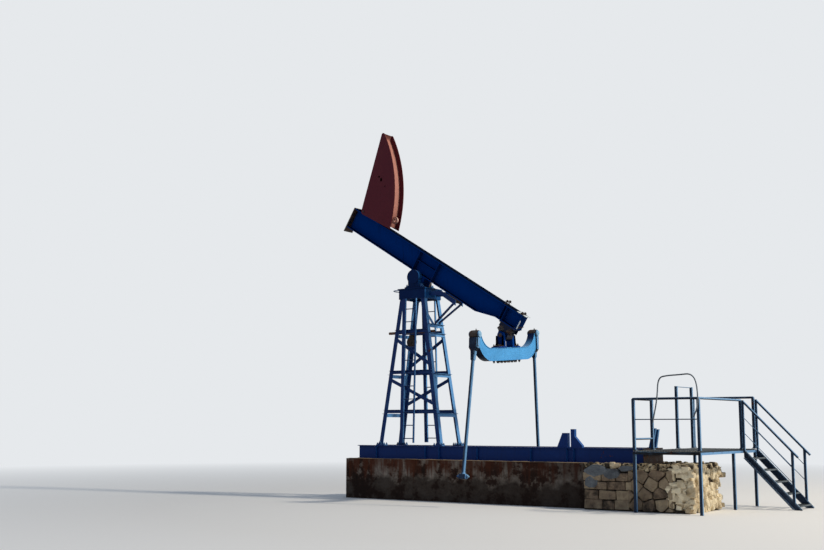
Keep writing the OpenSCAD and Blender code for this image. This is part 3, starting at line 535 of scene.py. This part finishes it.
# The cap and near saddle bearing stay dark on their sunward faces too: painted shadow of the beam above
dress(weathered_paint("dark_blue_cap_paint_painted_shadow", "#07214d", "#20558f", 0.32, shine=0.05), "post_cap",
      "saddle_bearing_near")
dress(beam_paint, "walking_beam", "saddle_block", "equalizer_pedestals")
# The frame is near black on faces away from the sun: rust, and painted shade on its near face
dress(weathered_paint("rusted_frame_paint_painted_shade", "#0c0f14", "#79ade0", 0.75), "platform_frame")
dress(platform_paint, "platform_legs", "platform_rails", "gate_frame", "stair_stringers", "stair_rails")

# Bare and greasy steel
# Castings, pins and plates that were never repainted: scaled rust, black with old grease
# where the bearings drip.


def greasy_rust(name, black, brown, orange):
    made, tree, place = material(name)
    # Grease shines in the black patches, and the rust between them is dull and scaly
    patches = cloud(tree, place, 11, 10, 0.7)
    tint = add(tree, "ValToRGB", {"Fac": patches}, stops=((0.36, black), (0.52, brown), (0.68, orange)))
    dull = span(tree, patches, 0.35, 0.6, 0.35, 0.9)
    surface(tree, tint.outputs[0], dull, cloud(tree, place, 70, 8, 0.7), 0.6, 0.004)
    return made


greasy = greasy_rust("casting_with_rust_and_old_grease", "#0d0b0b", "#271a15", "#5a3521")
scaled = greasy_rust("scaled_rust", "#2a1810", "#4d2c1b", "#87522f")
dress(weathered_paint("oiled_hanger_paint", "#0a1733", "#23477c", 0.85, gloss=0.35), "tail_hanger")
dress(greasy, "beam_end_plate", "head_pin", "equalizer_shaft", "saddle_bearing_far", "base_end_plate")
dress(scaled, "old_pipe")

# Folding head
# Two plates and a rope track between them, in red-brown primer. The track faces the sun,
# and its pink is painted sunlight; the plates are dull and dark.
head_paint = weathered_paint("faded_red_brown_paint", "#561c27", "#7d3f38", 0.26, gloss=0.55)
rope_track_paint = weathered_paint("red_paint_painted_sunlit", "#6b2f2b", "#c78d7f", 0.34, gloss=0.6,
                                   dust_and_top_shade="#b98d7c")
dress(head_paint, "head_plates")
dress(rope_track_paint, "head_groove")
# The rope eye is pale pink on its shaded faces too: painted sunlight
dress(weathered_paint("rope_eye_painted_sunlit", "#b98a7e", "#efc8b8", 0.2), "rope_eye")

# Rest timber
# A sawn oak block, oiled by drips from the bearing and greyed by the weather.


def oily_timber():
    made, tree, place = material("weathered_oak_with_oil")
    # Grain along the block, dark with oil in its furrows
    along = add(tree, "Mapping", {"Vector": place, "Scale": (40, 3, 40)})
    grain = cloud(tree, along.outputs[0], 1.0, 8, 0.6)
    tint = add(tree, "ValToRGB", {"Fac": grain}, stops=((0.35, "#1c1713"), (0.65, "#5b4d3d")))
    surface(tree, tint.outputs[0], 0.85, grain, 0.6, 0.004)
    return made


dress(oily_timber(), "rest_timber")

# Deck and tread mesh
# Expanded steel sheet: strands 5 mm thick that zigzag between knuckles 50 by 110 mm
# apart, laid on the platform's frame and in the treads' flat frames.


def expanded_sheet(bm, low, high, strand=0.005):
    low, high = Vector(low), Vector(high)
    strands = round((high.x - low.x) / 0.05)
    pitch = (high.x - low.x) / strands
    steps = 2 * round((high.y - low.y) / 0.11)
    step = (high.y - low.y) / steps
    deep = 0.5 * (high.z - low.z)
    for i in range(strands):
        middle = low.x + (i + 0.5) * pitch
        for j in range(steps):
            side = 1 if (i + j) % 2 else -1
            # Knuckles stand high and low by turns
            reach, dip = side * (pitch / 2 - 0.003), 0.5 * side
            a = Vector((middle - reach, low.y + j * step, high.z - deep * (0.5 - dip)))
            b = Vector((middle + reach, low.y + (j + 1) * step, high.z - deep * (0.5 + dip)))
            place = Matrix.Translation((a + b) / 2 - Vector((0, 0, deep / 2)))
            turn = (b - a).to_track_quat("Y", "Z").to_matrix().to_4x4()
            half = (b - a).length / 2 + 0.002
            block(bm, (-strand / 2, -half, -deep / 2), (strand / 2, half, deep / 2), place @ turn)


mesh_finish = weathered_paint("dull_painted_expanded_sheet", "#1c2228", "#5f6a72", 0.6, dust_and_top_shade_share=0.3,
                              dust_and_top_shade="#8f8471")
low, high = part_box("platform_deck")
bm = bmesh.new()
middle = (low[1] + high[1]) / 2
expanded_sheet(bm, low, (high[0], middle - 0.003, high[2]))
expanded_sheet(bm, (low[0], middle + 0.003, low[2]), high)
deck = link("deck_mesh", bm, mesh_finish, "base")
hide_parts("platform_deck")

low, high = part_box("stair_treads")
treads, tread_l, tread_t, rim = 5, 0.2, 0.03, 0.005
going = (high[0] - low[0] - tread_l) / (treads - 1)
riser = (high[2] - low[2] - tread_t) / (treads - 1)
bm = bmesh.new()
for i in range(treads):
    x, top = low[0] + i * going, high[2] - i * riser
    expanded_sheet(bm, (x + rim, low[1] + rim, top - 0.02),
                   (x + tread_l - rim, high[1] - rim, top - 0.002))
    for a, b in ((x, x + rim), (x + tread_l - rim, x + tread_l)):
        block(bm, (a, low[1], top - tread_t), (b, high[1], top))
    for a, b in ((low[1], low[1] + rim), (high[1] - rim, high[1])):
        block(bm, (x + rim, a, top - tread_t), (x + tread_l - rim, b, top))
steps = link("tread_meshes", bm, mesh_finish, "base")
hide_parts("stair_treads")

# Bolts
# Hexagon nuts on studs with flat washers, brush painted with what they hold and rusted
# at their corners.


def stand(place, up):
    """Turns a piece drawn along Z to stand at a place along a direction."""
    return Matrix.Translation(place) @ Vector(up).to_track_quat("Z", "Y").to_matrix().to_4x4()


def nut(bm, place, up, across=0.036, stud=0.0):
    """A washer, a nut and, where one stands out of it, the end of its stud."""
    up = Vector(up).normalized()
    place = Vector(place)
    washer_t = 0.004
    sizes = ((20, across * 0.95, washer_t, 0.0), (6, across * 0.58, across * 0.7, washer_t))
    if stud:
        sizes += ((12, across * 0.3, stud, washer_t),)
    for sides, radius, height, start in sizes:
        bmesh.ops.create_cone(bm, cap_ends=True, segments=sides, radius1=radius, radius2=radius,
                              depth=height, matrix=stand(place + up * (start + height / 2), up))


joints = {joint["name"]: Vector(joint["pos_m"]) for joint in frame["record"]["behaviour"]["joints"]}
saddle, tail = joints["beam_rock"], joints["equalizer_swing"]
beam_tilt = math.radians(32)
beam_along = Vector((math.cos(beam_tilt), 0, -math.sin(beam_tilt)))
beam_up = Vector((math.sin(beam_tilt), 0, math.cos(beam_tilt)))
# The equalizer hangs askew, its near end low
eq_roll = math.radians(4.3)
eq_across = Vector((0, math.cos(eq_roll), math.sin(eq_roll)))
eq_up = Vector((0, -math.sin(eq_roll), math.cos(eq_roll)))


def on_beam(along, across, up):
    """A point given from the saddle's axis, along the tilted beam."""
    return saddle + beam_along * along + Vector((0, across, 0)) + beam_up * up


def on_equalizer(along, across, up):
    """A point given from the tail pin, across the askew equalizer."""
    return tail + Vector((along, 0, 0)) + eq_across * across + eq_up * up


# At the legs' feet, and at the bearings on the cap
runner_y, foot_top = 0.404, 1.239
bm = bmesh.new()
for end in (-1, 1):
    for side in (-1, 1):
        for along in (0.705, 0.905):
            for across in (-0.045, 0.045):
                nut(bm, (end * along, side * (runner_y + across), foot_top), (0, 0, 1), 0.036, 0.045)
for side in (-1, 1):
    for along in (-0.2, 0.2):
        for across in (0.185, 0.245):
            nut(bm, (along, side * across, saddle.z - 0.235), (0, 0, 1), 0.045, 0.06)
link("post_nuts", bm, tower_paint, "base")

# Equalizer
# The box is 176 mm wide between the forks. Its ends carry the pin bearings, black with
# grease, and nuts hold the pedestals on it from above and from below.
box_half = 0.088
node = frame["nodes"]["equalizer_beam"]
bm = bmesh.new()
bm.from_mesh(node.data)
bmesh.ops.remove_doubles(bm, verts=bm.verts, dist=0.00001)
bmesh.ops.transform(bm, matrix=node.matrix_world, verts=bm.verts)
box_low, box_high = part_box("equalizer_beam")
bmesh.ops.scale(bm, vec=(2 * box_half / (box_high[0] - box_low[0]), 1, 1), verts=bm.verts,
                space=Matrix.Translation((-tail.x, 0, 0)))
equalizer_box = link("equalizer_box", bm, equalizer_paint, "equalizer")
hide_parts("equalizer_beam")

# Six nuts on each row of the box's top face, and seven on each row below
eq_top, eq_bottom = -0.2547, -0.566
bm = bmesh.new()
for along in (-0.062, 0.062):
    for across in (0.26, 0.34, 0.42):
        for side in (-1, 1):
            nut(bm, on_equalizer(along, side * across, eq_top), eq_up, 0.036, 0.05)
    for k in range(7):
        nut(bm, on_equalizer(along, 0.15 * (k - 3), eq_bottom), -eq_up, 0.045, 0.05)
link("equalizer_nuts", bm, greasy, "equalizer")

# Studs of the tail bearing, through the beam's top flange, and nuts under its tail
beam_top = 0.606
bm = bmesh.new()
for along, tall in ((2.45, 0.1), (2.93, 0.03)):
    for across in (-0.07, 0.05):
        nut(bm, on_beam(along, across, beam_top), beam_up, 0.034, tall)
        nut(bm, on_beam(along, across, beam_top + 0.6 * tall), beam_up, 0.05)
tail_depth = 0.365
for along in (2.58, 2.64, 2.88, 2.93):
    for across in (-0.12, 0.12):
        nut(bm, on_beam(along, across, beam_top - tail_depth), -beam_up, 0.04)
link("tail_bearing_studs", bm, greasy, "beam")

# Pitmans
# Each is a steel tube with a forged fork over the equalizer's end and a block with a
# pin at the foot, where the crank is missing. The fork's arms taper down to the tube.


def taper(bm, top, bottom, top_half, bottom_half):
    """A bar of four flat sides from one rectangle to another, each given by its half sizes."""
    top, bottom = Vector(top), Vector(bottom)
    made = bmesh.ops.create_cube(bm, size=2)["verts"]
    for v in made:
        end, half = (top, top_half) if v.co.z > 0 else (bottom, bottom_half)
        v.co = end + Vector((v.co.x * half[0], v.co.y * half[1], 0))
    return made


def round_bar(bm, start, end, radius, segments=16, end_radius=None):
    start, end = Vector(start), Vector(end)
    way = end - start
    return bmesh.ops.create_cone(bm, cap_ends=True, segments=segments, radius1=radius,
                                 radius2=radius if end_radius is None else end_radius, depth=way.length,
                                 matrix=stand((start + end) / 2, way))["verts"]


pin_half, pin_up = 1.275, 0.025
pitman_l, tube_r = 3.03, 0.038
cap_paint = weathered_paint("pin_cap_paint", "#2a4f80", "#9fd0f2", 0.3)
bm = bmesh.new()
across = Vector((box_half + 0.004, 0, 0))
for side in (-1, 1):
    middle = on_equalizer(0, side * pin_half, pin_up)
    round_bar(bm, middle - across, middle + across, 0.084, 32)
    round_bar(bm, middle - across * 0.8, middle + across * 0.8, 0.089, 32)
    nut(bm, on_equalizer(0.03, side * pin_half, pin_up + 0.086), eq_up, 0.022, 0.035)
link("equalizer_end_bearings", bm, greasy, "equalizer")

# The fork's arms stand apart down to its straight end, close in to the tube at the bend,
# and run along the tube to its top. Heights are below the eye.
arm_x, slim, tip, tube_top, lap = 0.104, 0.048, 0.036, -0.56, 0.005
for name, body, side, lean, straight in (("pitman_near", "near_pitman", -1, 9.8, -0.3),
                                         ("pitman_far", "far_pitman", 1, 3.4, -0.37)):
    bm = bmesh.new()
    bend = straight - 0.07
    for end in (-1, 1):
        taper(bm, (end * arm_x, 0, 0.0), (end * arm_x, 0, straight), (0.008, 0.046), (0.008, 0.036))
        taper(bm, (end * (arm_x - 0.001), 0, straight + lap), (end * slim, 0, bend),
              (0.009, 0.036), (0.009, 0.036))
        taper(bm, (end * slim, 0, bend + lap), (end * tip, 0, tube_top), (0.009, 0.036), (0.009, 0.034))
        round_bar(bm, (end * (arm_x - 0.007), 0, 0), (end * (arm_x + 0.009), 0, 0), 0.076, 32)
    # A cheek closes the fork's outer side, and the tube ends in a weld
    for top, bottom, wide, narrow in ((-0.085, straight, arm_x - 0.004, arm_x - 0.012),
                                      (straight + lap, bend, arm_x - 0.012, slim),
                                      (bend + lap, tube_top, slim, tip)):
        taper(bm, (0, side * (0.078 + 0.07 * top), top), (0, side * (0.078 + 0.07 * bottom), bottom),
              (wide, 0.005), (narrow, 0.005))
    round_bar(bm, (0, 0, bend - 0.01), (0, 0, -pitman_l + 0.03), tube_r, 24)
    round_bar(bm, (0, 0, tube_top + 0.004), (0, 0, tube_top - 0.01), tube_r + 0.006, 24)
    # Foot: a block with a boss on each side
    heel = block(bm, (-0.085, -0.05, -pitman_l - 0.055), (0.085, 0.05, -pitman_l + 0.05))
    bmesh.ops.bevel(bm, geom=[e for e in bm.edges if e.verts[0] in heel], offset=0.012, segments=2,
                    profile=0.5, affect="EDGES", material=-1)
    round_bar(bm, (0, 0, -pitman_l + 0.04), (0, 0, -pitman_l + 0.09), 0.056, 24, tube_r + 0.002)
    hung = (Matrix.Translation(on_equalizer(0, side * pin_half, pin_up))
            @ Matrix.Rotation(math.radians(side * lean), 4, "X"))
    bmesh.ops.transform(bm, matrix=hung, verts=bm.verts)
    rod = link(name + "_forged", bm, pitman_paint, body)
    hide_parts(name)
    # Plain round caps over the upper pin, and the lower pin with its nuts
    bm = bmesh.new()
    for end in (-1, 1):
        round_bar(bm, (end * 0.113, 0, 0), (end * 0.128, 0, 0), 0.068, 32, 0.062)
        round_bar(bm, (end * 0.128, 0, 0), (end * 0.134, 0, 0), 0.024, 20)
        round_bar(bm, (end * 0.083, 0, -pitman_l), (end * 0.118, 0, -pitman_l), 0.034, 20)
        nut(bm, (end * 0.117, 0, -pitman_l), (end, 0, 0), 0.034)
    bmesh.ops.transform(bm, matrix=hung, verts=bm.verts)
    link(name + "_pins", bm, cap_paint, body)

# Tail bearing
# Gusset plates stiffen the two pedestals on the equalizer, and thick black grease sits
# on the housing and its feet.
bm = bmesh.new()
for side in (-1, 1):
    for along in (-0.078, 0.078):
        rib = taper(bm, (0, 0.038, 0.03), (0, 0.05, -0.19), (0.006, 0.038), (0.006, 0.05))
        for v in rib:
            v.co = on_equalizer(along, side * (0.218 + v.co.y), v.co.z - 0.042)
    for across in (0.225, 0.145):
        round_bar(bm, on_equalizer(0, side * (across - 0.006), 0),
                  on_equalizer(0, side * (across + 0.012), 0), 0.06, 24)
bmesh.ops.recalc_face_normals(bm, faces=bm.faces)
link("pedestal_gussets", bm, beam_paint, "equalizer")


def lumps(bm, middle, size, seed):
    """A closed lump of old grease or caked dirt with an uneven skin."""
    made = bmesh.ops.create_icosphere(bm, subdivisions=3, radius=1)["verts"]
    for v in made:
        away = 1 + 0.35 * noise.fractal(v.co * 2 + Vector((seed, 0, 0)), 0.9, 2.1, 4)
        v.co = Vector(middle) + Vector((v.co.x * size[0], v.co.y * size[1], v.co.z * size[2])) * away
    return made


bm = bmesh.new()
lumps(bm, on_beam(2.68, -0.09, 0.1), (0.13, 0.05, 0.09), 1)
lumps(bm, on_beam(2.86, -0.08, 0.12), (0.1, 0.06, 0.07), 2)
lumps(bm, on_beam(2.77, 0.1, 0.06), (0.12, 0.05, 0.1), 3)
link("hanger_grease", bm, greasy, "beam")
bm = bmesh.new()
for k, (along, across) in enumerate(((0.02, -0.24), (-0.04, -0.36), (0.05, 0.28), (-0.02, 0.38))):
    lumps(bm, on_equalizer(along, across, -0.25), (0.07, 0.06, 0.02), 5 + k)
link("pedestal_grease", bm, greasy, "equalizer")

# A closing plate on the beam's tail, a near-white strip down its edge as a painted highlight, and a round
# arm behind
bm = bmesh.new()
for v in block(bm, (2.79, -0.1, 0.607), (3.07, 0.1, 0.613)):
    v.co = on_beam(*v.co)
link("tail_plate", bm, weathered_paint("galvanised_and_faded_strip", "#8fa3ad", "#e6f2f8", 0.15), "beam")
bm = bmesh.new()
for v in block(bm, (3.018, -0.175, 0.285), (3.038, -0.158, 0.48)):
    v.co = on_beam(*v.co)
link("tail_strip", bm, weathered_paint("painted_highlight_strip", "#dfe9ef", "#f6fafc", 0.02, dust_and_top_shade_share=0), "beam")
bm = bmesh.new()
root = on_beam(2.86, -0.1, 0.19)
round_bar(bm, root, root + Vector((0.34, 0, 0.03)), 0.032, 10, 0.007)
bmesh.ops.recalc_face_normals(bm, faces=bm.faces)
link("tail_arm", bm, greasy, "beam")

# Head
# The rope track runs on to the tip, where a short plate closes the gap between the two
# sides. The plates carry weld beads along the track and sling holes that were burnt out.
head_angle = math.radians(143)
hinge_along, hinge_up = -2.258, 0.661


def on_head(x, across, z):
    """A point of the head as it is when unfolded, from the saddle axis along the beam."""
    x, z = x - hinge_along, z - hinge_up
    along = x * math.cos(head_angle) + z * math.sin(head_angle)
    up = -x * math.sin(head_angle) + z * math.cos(head_angle)
    return on_beam(hinge_along + along, across, hinge_up + up)


def on_arc(angle, radius, across):
    return on_head(-radius * math.cos(angle), across, radius * math.sin(angle))


back = math.radians(66.4 + 180)
back_dir = Vector((math.cos(back), math.sin(back)))
back_out = Vector((math.cos(back + math.pi / 2), math.sin(back + math.pi / 2)))


def back_edge_angle(radius, inset):
    """Where an arc round the saddle meets the plates' back edge."""
    q = Vector((hinge_along, hinge_up)) + (0.075 - inset) * back_out
    t = -q.dot(back_dir) + math.sqrt(q.dot(back_dir) ** 2 - q.dot(q) + radius ** 2)
    p = q + t * back_dir
    return math.atan2(p.y, -p.x)


track_r, half_track, track_t, pieces = 3.137, 0.168, 0.012, 6
bm = bmesh.new()
start, stop = back_edge_angle(track_r, 0.025), back_edge_angle(3.235, 0.03)
for i in range(pieces):
    a, b = (start + 0.004 + (stop - start) * k / pieces for k in (i, i + 1))
    ra, rb = (track_r + 0.1 * (k / pieces) ** 1.5 for k in (i, i + 1))
    plate = block(bm, (-0.5, -0.5, -0.5), (0.5, 0.5, 0.5))
    for v in plate:
        angle, radius = (a, ra) if v.co.x < 0 else (b, rb)
        v.co = on_arc(angle, radius - (track_t if v.co.z < 0 else 0), v.co.y * 2 * half_track)
bmesh.ops.recalc_face_normals(bm, faces=bm.faces)
link("track_nose", bm, rope_track_paint, "head")

bm = bmesh.new()
arc_top, steps, bead_r = math.radians(18), 40, 3.139
for side in (-1, 1):
    for i in range(steps):
        a, b = (start + (arc_top - start) * k / steps for k in (i, i + 1))
        round_bar(bm, on_arc(a, bead_r, side * half_track), on_arc(b, bead_r, side * half_track), 0.006, 6)
link("track_weld_beads", bm, rope_track_paint, "head")

# Two black blocks on the near plate, over its two sling holes: painted shade of the holes
bm = bmesh.new()
for x, z, size in ((-1.025, 7.642, 0.025), (-0.909, 7.463, 0.011)):
    block(bm, (x - size, -0.19, z - 1.6 * size), (x + size, -0.1855, z + 1.6 * size))
link("sling_hole_shade_blocks", bm,
     weathered_paint("black_plug_painted_hole_shade", "#050303", "#120a08", 0.1, dust_and_top_shade_share=0, shine=0.0),
     "head")

# Snatch block
# It hangs from the old pipe by a shackle and rusts there: a sheave on a pin between two
# cheek plates, which narrow up to the shackle's bolt.
bm = bmesh.new()
pipe_low, pipe_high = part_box("old_pipe")
hang, pipe_y, pipe_z = -0.1, (pipe_low[1] + pipe_high[1]) / 2, (pipe_low[2] + pipe_high[2]) / 2
start = Matrix.Translation((hang, pipe_y - 0.046, pipe_z)) @ Matrix.Rotation(math.pi / 2, 4, "Y")
bow = bmesh.ops.create_circle(bm, segments=8, radius=0.012,
                              matrix=start @ Matrix.Rotation(math.pi / 2, 4, "X"))["verts"]
bmesh.ops.spin(bm, geom=bow + bm.edges[:], cent=(hang, pipe_y, pipe_z), axis=(1, 0, 0),
               angle=2 * math.pi, steps=20, use_merge=True)
for across in (-0.028, 0.028):
    taper(bm, (hang, pipe_y + across, pipe_z - 0.05), (hang, pipe_y + across, pipe_z - 0.33),
          (0.045, 0.005), (0.11, 0.005))
# The sheave, its pin and the shackle's bolt
for drop, half, radius, segments in ((0.23, 0.02, 0.13, 28), (0.23, 0.045, 0.03, 16),
                                     (0.06, 0.04, 0.018, 12)):
    round_bar(bm, (hang, pipe_y - half, pipe_z - drop), (hang, pipe_y + half, pipe_z - drop), radius,
              segments)
bmesh.ops.recalc_face_normals(bm, faces=bm.faces)
link("snatch_block", bm, greasy, "base")

# Bent pipes
# The hoop outside the near handrail and the hand hold on the cap are thin pipes bent
# cold, so they run in smooth curves. Each is swept along its route.


def bent_pipe(name, route, radius, finish, body, rounding=6):
    """A pipe through the points of a route, with every corner rounded, closed at both ends."""
    points = [Vector(p) for p in route]
    path = [points[0]]
    for a, b, c in zip(points, points[1:], points[2:]):
        near, far = b + (a - b) * 0.5, b + (c - b) * 0.5
        for k in range(rounding + 1):
            t = k / rounding
            path.append((1 - t) ** 2 * near + 2 * t * (1 - t) * b + t * t * far)
    path.append(points[-1])
    path = [p for i, p in enumerate(path) if i == 0 or (p - path[i - 1]).length > 1e-4]
    bm = bmesh.new()
    ring = None
    for i, p in enumerate(path):
        way = path[min(i + 1, len(path) - 1)] - path[max(i - 1, 0)]
        made = bmesh.ops.create_circle(bm, segments=10, radius=radius, matrix=stand(p, way))["verts"]
        edges = [e for e in bm.edges if e.verts[0] in made and e.verts[1] in made]
        if ring:
            bmesh.ops.bridge_loops(bm, edges=ring + edges)
        ring = edges
    bmesh.ops.holes_fill(bm, edges=[e for e in bm.edges if e.is_boundary])
    bmesh.ops.recalc_face_normals(bm, faces=bm.faces)
    return link(name, bm, finish, body)


hoop_low, hoop_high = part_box("hoop_rail")
hoop_y = (hoop_low[1] + hoop_high[1]) / 2
start_x, deck_z = 5.79, 1.195
hoop_route = ((0.44, 0.53), (0.55, 1.0), (0.575, 1.4), (0.75, 1.44), (1.03, 1.45), (1.25, 1.47),
              (1.36, 1.3), (1.37, 0.85), (1.27, 0.64))
hoop = bent_pipe("hoop_pipe", [(start_x + x, hoop_y, deck_z + z) for x, z in hoop_route], 0.014,
                 weathered_paint("dull_grey_pipe", "#4d555e", "#b4c0ca", 0.35), "base")
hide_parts("hoop_rail")

hold_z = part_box("front_hoop")[1][2]
hold_route = ((-0.36, -0.2, hold_z - 0.02), (-0.5, -0.2, hold_z), (-0.7, -0.13, hold_z + 0.01),
              (-0.72, 0.0, hold_z), (-0.6, 0.16, hold_z - 0.01), (-0.36, 0.2, hold_z - 0.02))
# The hand hold is pale on its shaded faces too: painted sunlight on the bar
hold = bent_pipe("hand_hold", hold_route, 0.011,
                 weathered_paint("pale_bar_painted_sunlit", "#5f7fa6", "#dfe9f2", 0.1, dust_and_top_shade_share=0.05), "base")
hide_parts("front_hoop")

# Base details
# Gussets stand beside the leg feet, and a bracket of angle that once carried the belt
# guard leans at the rear of the far runner.
bm = bmesh.new()
for end in (-1, 1):
    for side in (-1, 1):
        for across in (-0.05, 0.05):
            rib = taper(bm, (0, 0, 0.09), (0, 0, 0), (0.01, 0.005), (0.05, 0.005))
            for v in rib:
                v.co += Vector((end * (0.84 - 0.2 * v.co.z), side * (runner_y + across), foot_top))
link("foot_gussets", bm, tower_paint, "base")

bm = bmesh.new()
for foot, top in (((5.57, 0.36, 1.224), (5.66, 0.36, 1.62)), ((5.62, 0.44, 1.224), (5.69, 0.44, 1.6))):
    taper(bm, top, foot, (0.035, 0.004), (0.04, 0.004))
    taper(bm, Vector(top) + Vector((0.03, 0.03, 0)), Vector(foot) + Vector((0.035, 0.03, 0)),
          (0.004, 0.03), (0.004, 0.03))
block(bm, (5.51, 0.32, 1.2235), (5.69, 0.48, 1.2305))
bmesh.ops.recalc_face_normals(bm, faces=bm.faces)
link("leaning_bracket", bm, weathered_paint("sky_blue_angle", "#1f4676", "#78b4ea", 0.4), "base")

# Platform details
# Plates with bolts under the handrail posts, toe plates of angle on the stringers, and
# the ends of the bars that carry the deck mesh, pale as a painted highlight.
bm = bmesh.new()
deck_low, deck_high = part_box("platform_deck")
rear_x, deck_top, post_w = deck_high[0], deck_high[2], 0.055
for x, y in ((deck_low[0], deck_low[1]), (rear_x - post_w, deck_low[1]), (deck_low[0], -0.13),
             (rear_x - post_w, 1.325), (deck_low[0], deck_high[1] - post_w),
             (rear_x - post_w, deck_high[1] - post_w), (deck_low[0], 1.19), (deck_low[0], 2.04)):
    rear = x > 6.5
    block(bm, (x - 0.02 if rear else x, max(deck_low[1], y - 0.03), deck_top + 0.0005),
          (x + post_w if rear else x + 0.075, min(deck_high[1], y + 0.085), deck_top + 0.008))
    bolt_x = x + post_w / 2 + (-0.03675 if rear else 0.03675)
    nut(bm, (bolt_x, y + post_w / 2, deck_top + 0.008), (0, 0, 1), 0.02)
stair_slope = 0.222 / 0.233
for y, side in ((deck_high[1] - 0.8005, -1), (deck_high[1] + 0.0005, 1)):
    for drop in (0.0, 0.165):
        foot_x = rear_x + (deck_z - drop) * stair_slope
        taper(bm, (rear_x + 0.01, y + side * 0.012, deck_top - drop - 0.012),
              (foot_x - 0.012, y + side * 0.012, 0.012), (0.02, 0.014), (0.02, 0.014))
bmesh.ops.recalc_face_normals(bm, faces=bm.faces)
link("platform_fittings", bm, weathered_paint("pale_worn_edge_paint", "#4c5d70", "#a9c4de", 0.3), "base")

# The bars end at the deck's near edge; their pale colour is a painted highlight of the lit ends
bm = bmesh.new()
deck_l = deck_high[0] - deck_low[0]
ends = round(deck_l / 0.053)
for k in range(ends):
    x = deck_low[0] + (k + 0.5) * deck_l / ends
    block(bm, (x - 0.009, deck_low[1] - 0.005, deck_top - 0.014), (x + 0.009, deck_low[1], deck_top - 0.001))
link("deck_bar_ends", bm, weathered_paint("pale_bar_ends_painted_highlight", "#8d867b", "#b9b0a2", 0.3), "base")
